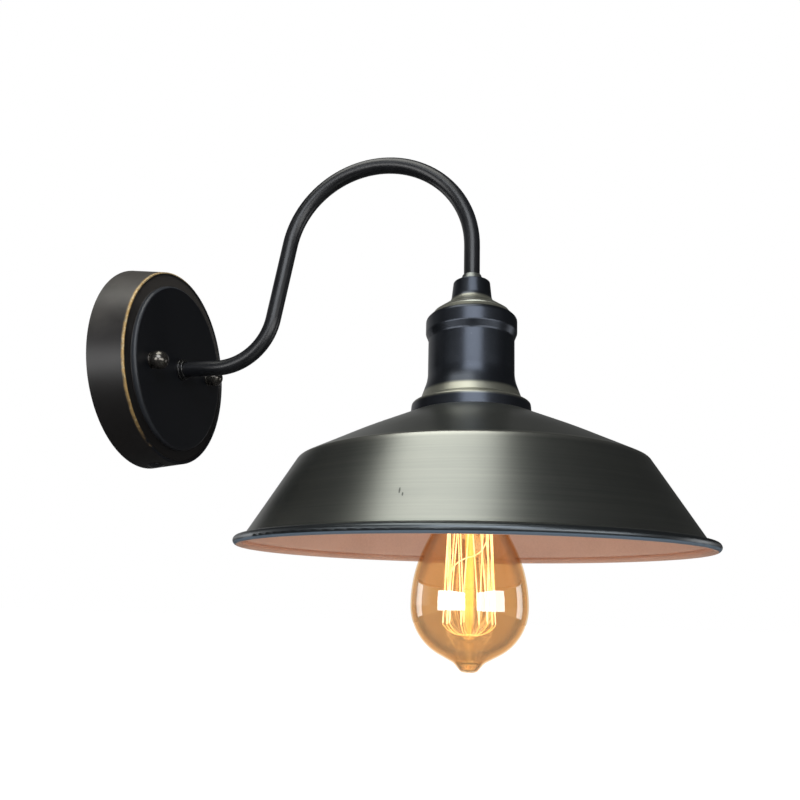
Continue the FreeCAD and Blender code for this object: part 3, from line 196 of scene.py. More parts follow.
class Graph:
    """The node tree of one material or world, with short ways to add nodes."""

    def __init__(self, owner: bpy.types.ID) -> None:
        """Empty the node tree.

        Args:
            owner: the material or world that has it.
        """
        owner.use_nodes = True
        self.tree = owner.node_tree
        self.tree.nodes.clear()

    def node(
        self,
        kind: str,
        settings: dict[str, Any] | None = None,
        values: dict[str | int, Any] | None = None,
        output: str | int = 0,
    ) -> Link:
        """Add one node.

        Args:
            kind: the node's type.
            settings: what is set on the node itself, first.
            values: a number, colour, vector or link for each named input.
            output: the output that is returned.

        Returns:
            The chosen output.
        """
        node = self.tree.nodes.new(kind)
        for key, value in (settings or {}).items():
            setattr(node, key, value)
        for key, value in (values or {}).items():
            self._plug(node.inputs[key], value)
        return Link(self, node.outputs[output])

    def _plug(self, socket: bpy.types.NodeSocket, value: Any) -> None:
        """Link a value to an input, or set it there.

        Args:
            socket: the input.
            value: a link, or the number, colour or vector to set.
        """
        if isinstance(value, Link):
            self.tree.links.new(value.socket, socket)
        elif socket.type == "RGBA":
            socket.default_value = (*value[:3], 1.0)
        else:
            socket.default_value = value

    def close(self, output: str, shader: Link) -> None:
        """Connect a shader to a new output node of this type."""
        self._plug(self.tree.nodes.new(output).inputs["Surface"], shader)

    def place(self) -> Link:
        """Return the point on the piece, in the model's own frame."""
        return self.node("ShaderNodeTexCoord", output="Object")

    def parts(self, vector: Link) -> tuple[Link, Link, Link]:
        """Return the x, y and z of a vector."""
        outputs = self.node("ShaderNodeSeparateXYZ", values={0: vector}).socket.node.outputs
        return Link(self, outputs[0]), Link(self, outputs[1]), Link(self, outputs[2])

    def rays(self) -> tuple[Link, Link, Link]:
        """Return masks of the camera's own rays, of those off gloss and of those through glass."""
        path = self.node("ShaderNodeLightPath").socket.node.outputs
        return tuple(Link(self, path[f"Is {kind} Ray"]) for kind in ("Camera", "Glossy", "Transmission"))

    def vector(self, x: Term, y: Term, z: Term) -> Link:
        """Return a vector made of three values."""
        return self.node("ShaderNodeCombineXYZ", values={0: x, 1: y, 2: z})

    def length(self, vector: Link) -> Link:
        """Return the length of a vector."""
        return self.node("ShaderNodeVectorMath", {"operation": "LENGTH"}, {0: vector}, "Value")

    def shift(self, vector: Link, offset: Vector | Triple) -> Link:
        """Return a vector with an offset taken off it."""
        return self.node("ShaderNodeVectorMath", {"operation": "SUBTRACT"}, {0: vector, 1: offset})

    def stretch(self, vector: Link, factors: Triple) -> Link:
        """Return a vector with each of its parts multiplied by a factor."""
        return self.node("ShaderNodeVectorMath", {"operation": "MULTIPLY"}, {0: vector, 1: factors})

    def noise(self, vector: Link, grain: Grain) -> Link:
        """Return random variation.

        Args:
            vector: where it is read.
            grain: how fine it is, and the span that it is stepped over.

        Returns:
            The noise value.
        """
        scale = grain.scale
        if isinstance(scale, tuple):
            vector, scale = self.stretch(vector, scale), 1.0
        values = {"Vector": vector, "Scale": scale, "Detail": grain.detail}
        noise = self.node("ShaderNodeTexNoise", values=values)
        return noise.rise(*grain.span) if grain.span else noise

    def mix(self, factor: Term, first: Link | Colour, second: Link | Colour) -> Link:
        """Return a colour between two colours."""
        return self.node("ShaderNodeMix", {"data_type": "RGBA"}, {0: factor, 6: first, 7: second}, 2)

    def blend(self, factor: Link, first: Link, second: Link) -> Link:
        """Return a shader between two shaders."""
        return self.node("ShaderNodeMixShader", values={0: factor, 1: first, 2: second})

    def bump(self, height: Link, relief: Relief) -> Link:
        """Return the bent normal of a surface whose height, from 0 to 1, varies like this."""
        values = {"Strength": relief.strength, "Distance": relief.depth, "Height": height}
        return self.node("ShaderNodeBump", values=values)

    def surface(self, **sockets: Any) -> Link:
        """Return a surface shader with these sockets set; an underscore stands for a space."""
        values = {key.replace("_", " "): value for key, value in sockets.items()}
        return self.node("ShaderNodeBsdfPrincipled", values=values)


@dataclass(frozen=True)
class TurnedSurface:
    """Coordinates of a turned or spun piece about its axis.

    Attributes:
        centre: a point on the axis.
        upright: True for the lamp's vertical axis, False for the canopy's level one.
        radius_share: how much of the profile's length a step in radius counts for.
    """

    graph: Graph
    centre: Vector
    upright: bool = True
    radius_share: float = 0.8

    def read(self) -> tuple[Link, Link, Link, Link]:
        """Read the place on the piece.

        Returns:
            The radius, the two parts of the direction round the axis, and the place along it.
        """
        x, y, z = self.graph.parts(self.graph.shift(self.graph.place(), self.centre))
        across, along = (y, z) if self.upright else (z, y)
        radius = self.graph.length(self.graph.vector(x, across, 0.0))
        return radius, x / radius, across / radius, along

    def streaks(self, lines: Lines) -> Link:
        """Draw streaks round the axis.

        Args:
            lines: how fine they are.

        Returns:
            The streaks as a noise value.
        """
        radius, cosine, sine, along = self.read()
        profile = (radius * self.radius_share + along) * lines.per_metre
        unrolled = self.graph.vector(cosine * lines.sweep, sine * lines.sweep, profile)
        return self.graph.noise(unrolled, Grain(1.0, lines.detail))


# ---------------------------------------------------------------- finishes


@dataclass(frozen=True)
class Finish(ABC):
    """What a piece is made of.

    In each finish, a field that ends in _rough is what the named noise or mask adds to the
    roughness, one that ends in _cover is how much of the colour below it hides, and one that ends
    in _span or _edge holds the values that become 0 and 1, with a smooth step between them.
    """

    name: str

    @abstractmethod
    def shader(self, graph: Graph, place: Link) -> Link:
        """Build the surface.

        Args:
            graph: the material's graph.
            place: the point on the piece.

        Returns:
            The surface's shader.
        """

    def material(self) -> bpy.types.Material:
        """Make a material with this finish.

        Returns:
            The new material.
        """
        material = bpy.data.materials.new(self.name)
        graph = Graph(material)
        graph.close("ShaderNodeOutputMaterial", self.shader(graph, graph.place()))
        return material


@dataclass(frozen=True)
class SatinBlack(Finish):
    """Sprayed satin black of the arm, its collar and the ball nuts."""

    colour: Colour = (0.0065, 0.0070, 0.0088)
    haze: Colour = (0.0100, 0.0108, 0.0130)
    dust: Colour = (0.05, 0.052, 0.055)
    roughness: float = 0.30
    metallic: float = 0.0
    clouds: Grain = Grain(55.0, 4.0, (0.35, 0.68))
    cloud_rough: float = 0.05
    specks: Grain = Grain(1500.0, 1.0, (0.72, 0.78))
    dust_cover: float = 0.12
    dust_rough: float = 0.1
    peel: Grain = Grain(700.0, 1.0)
    relief: Relief = Relief(0.02, 0.00004)

    def shader(self, graph: Graph, place: Link) -> Link:
        """Build the paint with its cloudy haze, orange peel and specks of dust.

        Args:
            graph: the material's graph.
            place: the point on the piece.

        Returns:
            The shader.
        """
        cloud = graph.noise(place, self.clouds)
        specks = graph.noise(place, self.specks)
        paint = graph.mix(cloud, self.colour, self.haze)
        return graph.surface(
            Base_Color=graph.mix(specks * self.dust_cover, paint, self.dust),
            Metallic=self.metallic,
            Roughness=self.roughness + cloud * self.cloud_rough + specks * self.dust_rough,
            Normal=graph.bump(graph.noise(place, self.peel), self.relief),
        )


@dataclass(frozen=True)
class Lean:
    """A mask that grows toward one side of the canopy, broken up by noise.

    Attributes:
        base: its value before the sides count.
        left: what the left side adds, as one faces the wall, and the right side takes off.
        up: what the top adds and the bottom takes off.
        noise: what the full noise adds.
        span: the sums that become 0 and 1, with a smooth step between them.
    """

    base: float = 0.0
    left: float = 0.0
    up: float = 0.0
    noise: float = 0.0
    span: Span = (0.0, 1.0)

    def mask(self, across: Link, up: Link, noise: Link) -> Link:
        """Add up what counts.

        Args:
            across: the direction's part toward the right.
            up: the direction's part toward the top.
            noise: the noise that breaks the mask up.

        Returns:
            The mask.
        """
        total: Term = self.base
        for link, weight in ((across, -self.left), (up, self.up), (noise, self.noise)):
            if weight:
                total = link * weight + total
        return total.rise(*self.span)


@dataclass(frozen=True)
class WornCanopy(Finish):
    """Canopy paint: warm bronze side with painted light toward its top, blue-black face and a worn gold
    edge.

    Attributes:
        front: how far the worn edge stands from the wall.
        worn_ring: the radii where the edge is worn.
        disc_wear_and_highlight_ring: the radii where the raised middle's edge is worn and carries a painted
            highlight.
        side_from: the depths behind the front where the face's paint turns into the side's.
        worn_depth: the depths behind the front where the wear fades out.
        nibble: the noise that makes both rings uneven.
        wear_limit: what wear_left and wear_noise have to exceed together.
    """

    front: float
    worn_ring: Band
    disc_wear_and_highlight_ring: Band
    side: Colour = (0.0085, 0.0070, 0.0066)
    side_painted_light: Colour = (0.050, 0.045, 0.040)
    face: Colour = (0.0042, 0.0052, 0.0078)
    gold: Colour = (0.42, 0.27, 0.10)
    pale_gold: Colour = (0.74, 0.62, 0.38)
    brown: Colour = (0.060, 0.034, 0.014)
    rubbed_and_highlight: Colour = (0.055, 0.060, 0.068)
    side_from: Span = (0.0002, 0.0008)
    worn_depth: Span = (0.0020, 0.0008)
    mottle: Grain = Grain(42.0, 4.0)
    grain: Grain = Grain(520.0, 3.0)
    nibble: Grain = Grain(260.0, 3.0)
    nibble_reach: float = 0.0005
    side_light_lean: Lean = Lean(up=0.45, noise=0.5, span=(0.20, 0.62))
    disc_wear_and_highlight_lean: Lean = Lean(base=0.55, left=0.35, up=0.15, span=(0.1, 0.9))
    wear_lean: Lean = Lean(left=1.0, up=0.35, span=(-0.25, 0.75))
    gold_lean: Lean = Lean(left=1.0, up=0.5, noise=0.6)
    bright_lean: Lean = Lean(up=0.12, noise=1.0, span=(0.45, 0.66))
    disc_wear_and_highlight_cover: float = 0.55
    bright_cover: float = 0.5
    wear_left: float = 1.2
    wear_noise: float = 0.9
    wear_limit: float = 0.62
    wear_span: Span = (0.15, 0.75)
    wear_metallic: float = 0.45
    wear_rough: float = 0.1
    roughness: float = 0.34
    mottle_rough: float = 0.10
    specular: float = 0.42
    texture: Grain = Grain(900.0, 2.0)
    relief: Relief = Relief(0.05, 0.00006)

    def shader(self, graph: Graph, place: Link) -> Link:
        """Build the paint; the wear is kept to the edge and broken up by noise.

        Args:
            graph: the material's graph.
            place: the point on the piece.

        Returns:
            The shader.
        """
        radius, across, up, along = TurnedSurface(graph, Vector(), upright=False).read()
        mottle = graph.noise(place, self.mottle)
        grain = graph.noise(place, self.grain)
        nibble = (graph.noise(place, self.nibble) - NOISE_MIDDLE) * self.nibble_reach
        depth = along + self.front
        on_side = depth.rise(*self.side_from)
        # Painted light: the side turns lighter toward its top, broken up by the paint's mottle.
        side = graph.mix(self.side_light_lean.mask(across, up, mottle), self.side, self.side_painted_light)
        paint = graph.mix(on_side, self.face, side)
        # The raised middle's edge: wear and a painted highlight, leaning toward the upper left.
        disc_wear_and_highlight = (radius + nibble).within(self.disc_wear_and_highlight_ring) * (1 - on_side)
        disc_wear_and_highlight = disc_wear_and_highlight * self.disc_wear_and_highlight_lean.mask(across, up, grain)
        paint = graph.mix(disc_wear_and_highlight * self.disc_wear_and_highlight_cover, paint, self.rubbed_and_highlight)
        edge = (radius + nibble).within(self.worn_ring) * (depth + nibble).rise(*self.worn_depth)
        on_left = self.wear_lean.mask(across, up, grain)
        wear = on_left * self.wear_left + grain * self.wear_noise - self.wear_limit
        worn = edge * wear.rise(*self.wear_span)
        metal = graph.mix(self.gold_lean.mask(across, up, grain), self.brown, self.gold)
        bright = self.bright_lean.mask(across, up, grain) * on_left
        metal = graph.mix(bright * self.bright_cover, metal, self.pale_gold)
        return graph.surface(
            Base_Color=graph.mix(worn, paint, metal),
            Metallic=worn * self.wear_metallic,
            Roughness=self.roughness + mottle * self.mottle_rough + worn * self.wear_rough,
            Specular_IOR_Level=self.specular,
            Normal=graph.bump(graph.noise(place, self.texture), self.relief),
        )


@dataclass(frozen=True)
class SpunPewter(Finish):
    """Dark lacquered pewter with lighter bands of painted highlight on its coves and edges.

    Attributes:
        painted_highlight_bands: the heights of the lighter bands, a painted highlight where the coves and
            edges catch the light.
        grooves: the heights of thin dark grooves across it.
        highlight_least: how light the painted highlight is where the broad streaks are dark.
    """

    axis: Vector
    painted_highlight_bands: tuple[Band, ...]
    grooves: tuple[Band, ...] = ()
    dark: Colour = (0.050, 0.056, 0.068)
    painted_highlight: Colour = (0.36, 0.36, 0.30)
    dust: Colour = (0.16, 0.17, 0.18)
    fine: Lines = Lines(2600.0, 1.4)
    broad: Lines = Lines(700.0, 0.8)
    clouds: Grain = Grain(60.0, 3.0)
    specks: Grain = Grain(1700.0, 1.0, (0.71, 0.76))
    dust_cover: float = 0.4
    groove_cover: float = 0.8
    highlight_least: float = 0.72
    highlight_streaks: float = 0.5
    highlight_span: Span = (0.25, 1.0)
    metallic: float = 0.93
    roughness: float = 0.25
    fine_rough: float = 0.08
    cloud_rough: float = 0.05
    highlight_rough: float = 0.06
    relief: Relief = Relief(0.10, 0.00006)

    def shader(self, graph: Graph, place: Link) -> Link:
        """Build the metal with turning lines, lighter bands of painted highlight and fine dust.

        Args:
            graph: the material's graph.
            place: the point on the piece.

        Returns:
            The shader.
        """
        turned = TurnedSurface(graph, self.axis)
        height = graph.parts(place)[2]
        fine, broad = turned.streaks(self.fine), turned.streaks(self.broad)
        cloud = graph.noise(place, self.clouds)
        specks = graph.noise(place, self.specks)
        # Lighter bands of painted highlight, broken up by the broad streaks and cut by the dark grooves.
        painted_highlight: Term = 0.0
        for band in self.painted_highlight_bands:
            painted_highlight = height.within(band) + painted_highlight
        painted_highlight = (painted_highlight * (self.highlight_least + broad * self.highlight_streaks)).rise(*self.highlight_span)
        for band in self.grooves:
            painted_highlight = painted_highlight * (1 - height.within(band) * self.groove_cover)
        metal = graph.mix(painted_highlight, self.dark, self.painted_highlight)
        roughness = self.roughness + fine * self.fine_rough + cloud * self.cloud_rough
        return graph.surface(
            Base_Color=graph.mix(specks * self.dust_cover, metal, self.dust),
            Metallic=self.metallic,
            Roughness=roughness + painted_highlight * self.highlight_rough,
            Normal=graph.bump(fine + broad, self.relief),
        )


@dataclass(frozen=True)
class Mark:
    """A small scratch or chip on the shade: its middle, and its half size along x, y and z."""

    place: Triple
    reach: Triple


@dataclass(frozen=True)
class BrushedPewter:
    """Spun and brushed metal of the shade's outside.

    Attributes:
        rim_edge: the radii where the rolled rim, with its painted shade, starts.
        highlight_line_edge: the heights where the roll's painted shade turns into the painted highlight
            stripe under it,
        from the axis point.
        shoulder_wear_and_highlight_ring: the radii of the shoulder's lighter band, partly worn metal and
            partly painted highlight.
        shoulder_wear_and_highlight_level: its heights, from the axis point.
    """

    rim_edge: Span
    highlight_line_edge: Span
    shoulder_wear_and_highlight_ring: Band
    shoulder_wear_and_highlight_level: Band
    marks: tuple[Mark, ...]
    dark: Colour = (0.163, 0.170, 0.160)
    light: Colour = (0.196, 0.203, 0.187)
    rim: Colour = (0.070, 0.082, 0.095)
    rim_highlight_line: Colour = (0.26, 0.34, 0.43)
    rubbed_and_highlight: Colour = (0.42, 0.42, 0.38)
    bare_steel: Colour = (0.018, 0.018, 0.018)
    fine: Lines = Lines(1900.0, 1.1, 4.0)
    broad: Lines = Lines(330.0, 0.7)
    clouds: Grain = Grain(24.0, 4.0)
    streak_fine: float = 0.6
    streak_broad: float = 0.5
    streak_cloud: float = 0.5
    streak_span: Span = (0.55, 1.0)
    rubbed_and_highlight_cover: float = 0.45
    rim_shade_cover: float = 0.8
    highlight_line_least: float = 0.4
    mark_edge: Span = (1.0, 0.75)
    mark_cover: float = 0.6
    metallic: float = 0.96
    highlight_line_matt: float = 0.5
    roughness: float = 0.28
    fine_rough: float = 0.04
    cloud_rough: float = 0.04
    mark_rough: float = 0.2
    broad_relief: float = 0.7
    relief: Relief = Relief(0.06, 0.00006)

    def _marked(self, graph: Graph, place: Link) -> Link:
        """Find the scratches and chips.

        Args:
            graph: the shade's material.
            place: the point on the shade.

        Returns:
            The mask of all of them.
        """
        mask: Term = 0.0
        for mark in self.marks:
            nearness = tuple(1 / reach for reach in mark.reach)
            scaled = graph.stretch(graph.shift(place, mark.place), nearness)
            mask = graph.length(scaled).rise(*self.mark_edge) + mask
        return mask

    def shader(self, graph: Graph, turned: TurnedSurface) -> Link:
        """Build the metal with its streaks, a shoulder band of wear and painted highlight, a rim of painted
        shade with a painted highlight stripe under it, and marks.

        Args:
            graph: the shade's material.
            turned: the shade's coordinates about its axis.

        Returns:
            The metal's shader.
        """
        radius, _, _, along = turned.read()
        place = graph.place()
        fine, broad = turned.streaks(self.fine), turned.streaks(self.broad)
        cloud = graph.noise(place, self.clouds)
        streaks = fine * self.streak_fine + broad * self.streak_broad + cloud * self.streak_cloud
        metal = graph.mix(streaks.rise(*self.streak_span), self.dark, self.light)
        # The shoulder's lighter band: partly worn metal, partly painted highlight.
        shoulder = radius.within(self.shoulder_wear_and_highlight_ring) * along.within(self.shoulder_wear_and_highlight_level)
        metal = graph.mix(shoulder * self.rubbed_and_highlight_cover, metal, self.rubbed_and_highlight)
        # Painted shade: the rolled rim is darker, as it mirrors a dark room.
        on_rim = radius.rise(*self.rim_edge)
        metal = graph.mix(on_rim * self.rim_shade_cover, metal, self.rim)
        # Painted highlight: a bluish stripe under the roll, where its lower edge catches the light.
        highlight_line = along.rise(*self.highlight_line_edge) * on_rim
        metal = graph.mix(highlight_line * (self.highlight_line_least + fine), metal, self.rim_highlight_line)
        marks = self._marked(graph, place)
        roughness = self.roughness + fine * self.fine_rough + cloud * self.cloud_rough
        return graph.surface(
            Base_Color=graph.mix(marks * self.mark_cover, metal, self.bare_steel),
            Metallic=self.metallic - highlight_line * self.highlight_line_matt,
            Roughness=roughness + marks * self.mark_rough,
            Normal=graph.bump(fine + broad * self.broad_relief, self.relief),
        )


@dataclass(frozen=True)
class EnamelWithPaintedBulbLight:
    """Enamel of the shade's inside; its warm pink colour is partly painted light from the bulb."""

    # The warm pink is partly painted light: it stands for the bulb's warm glow on the enamel.
    colour: Colour = (0.80, 0.49, 0.36)
    stain: Colour = (0.72, 0.42, 0.30)
    stains: Grain = Grain(18.0, 3.0)
    flecks: Grain = Grain(700.0, 2.0)
    fleck_share: float = 0.5
    stain_span: Span = (0.35, 0.75)
    roughness: float = 0.30
    stain_rough: float = 0.12
    coat: float = 0.25
    coat_roughness: float = 0.25
    texture: Grain = Grain(600.0, 2.0)
    relief: Relief = Relief(0.10, 0.0001)

    def shader(self, graph: Graph, place: Link) -> Link:
        """Build the enamel with its uneven tone.

        Args:
            graph: the material's graph.
            place: the point on the piece.

        Returns:
            The shader.
        """
        flecks = (graph.noise(place, self.flecks) - NOISE_MIDDLE) * self.fleck_share
        tone = (graph.noise(place, self.stains) + flecks).rise(*self.stain_span)
        return graph.surface(
            Base_Color=graph.mix(tone, self.colour, self.stain),
            Roughness=self.roughness + tone * self.stain_rough,
            Coat_Weight=self.coat,
            Coat_Roughness=self.coat_roughness,
            Normal=graph.bump(graph.noise(place, self.texture), self.relief),
        )


@dataclass(frozen=True)
class SpunShade(Finish):
    """Brushed pewter outside and enamel inside, whose warm colour is partly painted light from the bulb.

    Attributes:
        top_share: how much an upward face counts as outside, beside one that faces outward.
    """

    axis: Vector
    outside: BrushedPewter
    inside: EnamelWithPaintedBulbLight = EnamelWithPaintedBulbLight()
    top_share: float = 0.25
    side_edge: Span = (0.02, -0.02)

    def shader(self, graph: Graph, place: Link) -> Link:
        """Build the metal where the shade faces outward and the enamel where it faces in.

        Args:
            graph: the material's graph.
            place: the point on the piece.

        Returns:
            The shader.
        """
        turned = TurnedSurface(graph, self.axis)
        _, cosine, sine, _ = turned.read()
        lean_x, lean_y, top = graph.parts(graph.node("ShaderNodeNewGeometry", output="True Normal"))
        outward = top * self.top_share + (lean_x * cosine + lean_y * sine)
        metal, enamel = self.outside.shader(graph, turned), self.inside.shader(graph, place)
        return graph.blend(outward.rise(*self.side_edge), metal, enamel)


@dataclass(frozen=True)
class PlatedMetal(Finish):
    """Bright metal of small hardware: zinc plate, steel, plain brass or nickel."""

    colour: Colour
    stain: Colour
    roughness: float = 0.28
    clouds: Grain = Grain(130.0, 4.0, (0.36, 0.70))
    cloud_stain: float = 0.6
    cloud_rough: float = 0.14
    hatch: Grain = Grain((2600.0, 300.0, 420.0), 2.0)
    scratch_span: Span = (0.60, 0.72)
    scratch_stain: float = 0.125
    scratch_rough: float = 0.075
    relief: Relief = Relief(0.06, 0.00005)

    def shader(self, graph: Graph, place: Link) -> Link:
        """Build the metal with stains and fine scratches.

        Args:
            graph: the material's graph.
            place: the point on the piece.

        Returns:
            The shader.
        """
        cloud = graph.noise(place, self.clouds)
        hatch = graph.noise(place, self.hatch)
        scratch = hatch.rise(*self.scratch_span)
        stain = cloud * self.cloud_stain + scratch * self.scratch_stain
        return graph.surface(
            Base_Color=graph.mix(stain, self.colour, self.stain),
            Metallic=1.0,
            Roughness=self.roughness + cloud * self.cloud_rough + scratch * self.scratch_rough,
            Normal=graph.bump(hatch, self.relief),
        )


@dataclass(frozen=True)
class Moulding(Finish):
    """A moulded, fired or cast part."""

    colour: Colour
    shade: Colour
    roughness: float
    coat: float = 0.0
    metallic: float = 0.0
    clouds: Grain = Grain(180.0, 4.0, (0.35, 0.70))
    cloud_rough: float = 0.12
    texture: Grain = Grain(1500.0, 2.0)
    relief: Relief = Relief(0.12, 0.00006)

    def shader(self, graph: Graph, place: Link) -> Link:
        """Build the cloudy surface with its faint texture.

        Args:
            graph: the material's graph.
            place: the point on the piece.

        Returns:
            The shader.
        """
        cloud = graph.noise(place, self.clouds)
        return graph.surface(
            Base_Color=graph.mix(cloud, self.colour, self.shade),
            Metallic=self.metallic,
            Roughness=self.roughness + cloud * self.cloud_rough,
            Coat_Weight=self.coat,
            Normal=graph.bump(graph.noise(place, self.texture), self.relief),
        )


class Moulded(Enum):
    """The moulded, fired and cast parts."""

    BLACK = Moulding("black_moulding", (0.012, 0.012, 0.013), (0.030, 0.030, 0.032), 0.28)
    WHITE = Moulding("white_moulding", (0.78, 0.77, 0.73), (0.66, 0.64, 0.58), 0.42)
    PORCELAIN = Moulding("porcelain_moulding", (0.84, 0.81, 0.74), (0.70, 0.66, 0.58), 0.18, coat=0.6)
    BROWN_WIRE = Moulding("brown_wire_moulding", (0.16, 0.060, 0.025), (0.10, 0.040, 0.018), 0.38)
    BLUE_WIRE = Moulding("blue_wire_moulding", (0.035, 0.10, 0.34), (0.022, 0.07, 0.24), 0.38)
    SOLDER = Moulding("solder_moulding", (0.46, 0.46, 0.47), (0.30, 0.30, 0.31), 0.35, metallic=1.0)


@dataclass(frozen=True)
class StripedWire(Finish):
    """Green insulation with a yellow stripe, for the earth wire.

    Attributes:
        wander: the noise that makes the stripe's edge uneven.
    """

    green: Colour = (0.045, 0.26, 0.035)
    yellow: Colour = (0.72, 0.58, 0.03)
    wander: Grain = Grain(300.0, 2.0)
    wander_reach: float = 0.2
    wander_rough: float = 0.1
    stripe_edge: Span = (-0.45, -0.6)
    roughness: float = 0.36
    relief: Relief = Relief(0.1, 0.00006)

    def shader(self, graph: Graph, place: Link) -> Link:
        """Build the insulation; the stripe follows the wire's front face.

        Args:
            graph: the material's graph.
            place: the point on the piece.

        Returns:
            The shader.
        """
        slope = graph.parts(graph.node("ShaderNodeNewGeometry", output="Normal"))[1]
        wander = graph.noise(place, self.wander)
        stripe = (slope + (wander - NOISE_MIDDLE) * self.wander_reach).rise(*self.stripe_edge)
        return graph.surface(
            Base_Color=graph.mix(stripe, self.green, self.yellow),
            Roughness=self.roughness + wander * self.wander_rough,
            Normal=graph.bump(wander, self.relief),
        )


@dataclass(frozen=True)
class AmberGlass(Finish):
    """Tinted glass of the bulb: a thin wall that colours what is seen through it.

    Attributes:
        tint: the colour of one pass through the wall's two faces.
        smoke: the same where the glass is a little darker.
        edge: the paler colour where the wall is seen edge on.
    """

    tint: Colour = (0.900, 0.635, 0.360)
    smoke: Colour = (0.875, 0.590, 0.310)
    edge: Colour = (0.925, 0.785, 0.62)
    uneven: Grain = Grain((30.0, 30.0, 9.0), 2.0, (0.3, 0.7))
    ripple: Grain = Grain((55.0, 55.0, 14.0), 2.0)
    relief: Relief = Relief(0.12, 0.0006)
    turn_blend: float = 0.5
    pale_span: Span = (0.35, 0.75)
    pale_cover: float = 0.85
    clear_span: Span = (0.36, 0.74)
    clear_cover: float = 0.92
    coat_ior: float = 2.5

    def shader(self, graph: Graph, place: Link) -> Link:
        """Build the clear glass with a slightly uneven tint and faint ripples.

        Args:
            graph: the material's graph.
            place: the point on the piece.

        Returns:
            The shader.
        """
        turn = graph.node("ShaderNodeLayerWeight", values={"Blend": self.turn_blend}, output="Facing")
        tint = graph.mix(graph.noise(place, self.uneven), self.tint, self.smoke)
        glass = graph.surface(
            Base_Color=graph.mix(turn.rise(*self.pale_span) * self.pale_cover, tint, self.edge),
            Roughness=0.0,
            IOR=GLASS_IOR,
            Transmission_Weight=1.0,
            Coat_Weight=1.0,
            Coat_IOR=self.coat_ior,
            Coat_Roughness=0.0,
            Normal=graph.bump(graph.noise(place, self.ripple), self.relief),
        )
        clear = graph.node("ShaderNodeBsdfTransparent", values={"Color": self.edge})
        return graph.blend(turn.rise(*self.clear_span) * self.clear_cover, glass, clear)


@dataclass(frozen=True)
class GlowingGlass(Finish):
    """Glass stem that the filament lights from the side.

    Attributes:
        glow_heights: the heights where its glow is orange and where it has turned yellow.
    """

    glow_heights: Span
    yellow: Colour = (1.0, 0.72, 0.12)
    orange: Colour = (1.0, 0.32, 0.03)
    flare: Colour = (1.0, 0.93, 0.62)
    glass: Colour = (0.95, 0.80, 0.50)
    pale_glass: Colour = (0.98, 0.90, 0.70)
    streaks: Grain = Grain((900.0, 900.0, 40.0), 2.0)
    flare_span: Span = (0.35, 0.65)
    flare_cover: float = 0.5
    roughness: float = 0.08
    clearness: float = 0.55
    strength: float = 0.95

    def shader(self, graph: Graph, place: Link) -> Link:
        """Build pale glass with a glow that fades to orange at its lower end.

        Args:
            graph: the material's graph.
            place: the point on the piece.

        Returns:
            The shader.
        """
        height = graph.parts(place)[2]
        streak = graph.noise(place, self.streaks)
        glow = graph.mix(height.rise(*self.glow_heights), self.orange, self.yellow)
        return graph.surface(
            Base_Color=graph.mix(streak, self.glass, self.pale_glass),
            Roughness=self.roughness,
            IOR=GLASS_IOR,
            Transmission_Weight=self.clearness,
            Emission_Color=graph.mix(streak.rise(*self.flare_span) * self.flare_cover, glow, self.flare),
            Emission_Strength=self.strength,
        )


@dataclass(frozen=True)
class GlowingWire(Finish):
    """Glowing wire: the filament, which is the lamp, or a support or tie wire whose glow is painted light
    from the filament.

    Attributes:
        dim_glow: the glow colour in its dimmer stretches.
        bright_glow: the glow colour elsewhere.
        flow: the noise that parts the dimmer stretches from the brighter ones.
    """

    dim_glow: Colour
    bright_glow: Colour
    strength: float
    metal: Colour = (0.55, 0.45, 0.30)
    bright_metal: Colour = (0.75, 0.62, 0.42)
    flow: Grain = Grain(120.0, 3.0, (0.38, 0.62))
    metallic: float = 0.7
    roughness: float = 0.35
    flow_rough: float = 0.2

    def shader(self, graph: Graph, place: Link) -> Link:
        """Build the wire with a glow that varies along it.

        Args:
            graph: the material's graph.
            place: the point on the piece.

        Returns:
            The shader.
        """
        flow = graph.noise(place, self.flow)
        return graph.surface(
            Base_Color=graph.mix(flow, self.metal, self.bright_metal),
            Metallic=self.metallic,
            Roughness=self.roughness + flow * self.flow_rough,
            Emission_Color=graph.mix(flow, self.dim_glow, self.bright_glow),
            Emission_Strength=self.strength,
        )


@dataclass(frozen=True)
class PaleFloor(Finish):
    """Plain white floor that keeps the object's shadow.

    Attributes:
        glow: how much of its white the camera sees without any light on it.
        sheen: how bright it is where glossy surfaces show it.
    """

    colour: Colour = (0.80, 0.80, 0.80)
    fleck_colour: Colour = (0.82, 0.82, 0.82)
    flecks: Grain = Grain(3.0, 2.0)
    roughness: float = 0.9
    specular: float = 0.1
    glow: float = 0.78
    sheen: float = 0.06

    def shader(self, graph: Graph, place: Link) -> Link:
        """Build the floor: matt white with a glow, and plain glow where glass or gloss shows it.

        Args:
            graph: the material's graph.
            place: the point on the piece.

        Returns:
            The shader.
        """
        camera, gloss, glass = graph.rays()
        matt = graph.surface(
            Base_Color=graph.mix(graph.noise(place, self.flecks), self.colour, self.fleck_colour),
            Roughness=self.roughness,
            Specular_IOR_Level=self.specular,
            Emission_Color=WHITE,
            Emission_Strength=camera * self.glow,
        )
        plain = graph.node("ShaderNodeEmission", values={"Strength": glass + gloss * self.sheen})
        return graph.blend(glass.either(gloss), matt, plain)


# ---------------------------------------------------------------- dressing


def dress(names: tuple[str, ...], material: bpy.types.Material) -> None:
    """Give fixed nodes of the model a material.

    Args:
        names: the nodes' names.
        material: what they are made of.
    """
    for name in names:
        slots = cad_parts[name].data.materials
        slots.clear()
        slots.append(material)
        log.info("%s wears %s", name, material.name)


def middle(name: str) -> Vector:
    """Return the centre of a node's box."""
    low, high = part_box(name)
    return (low + high) / 2


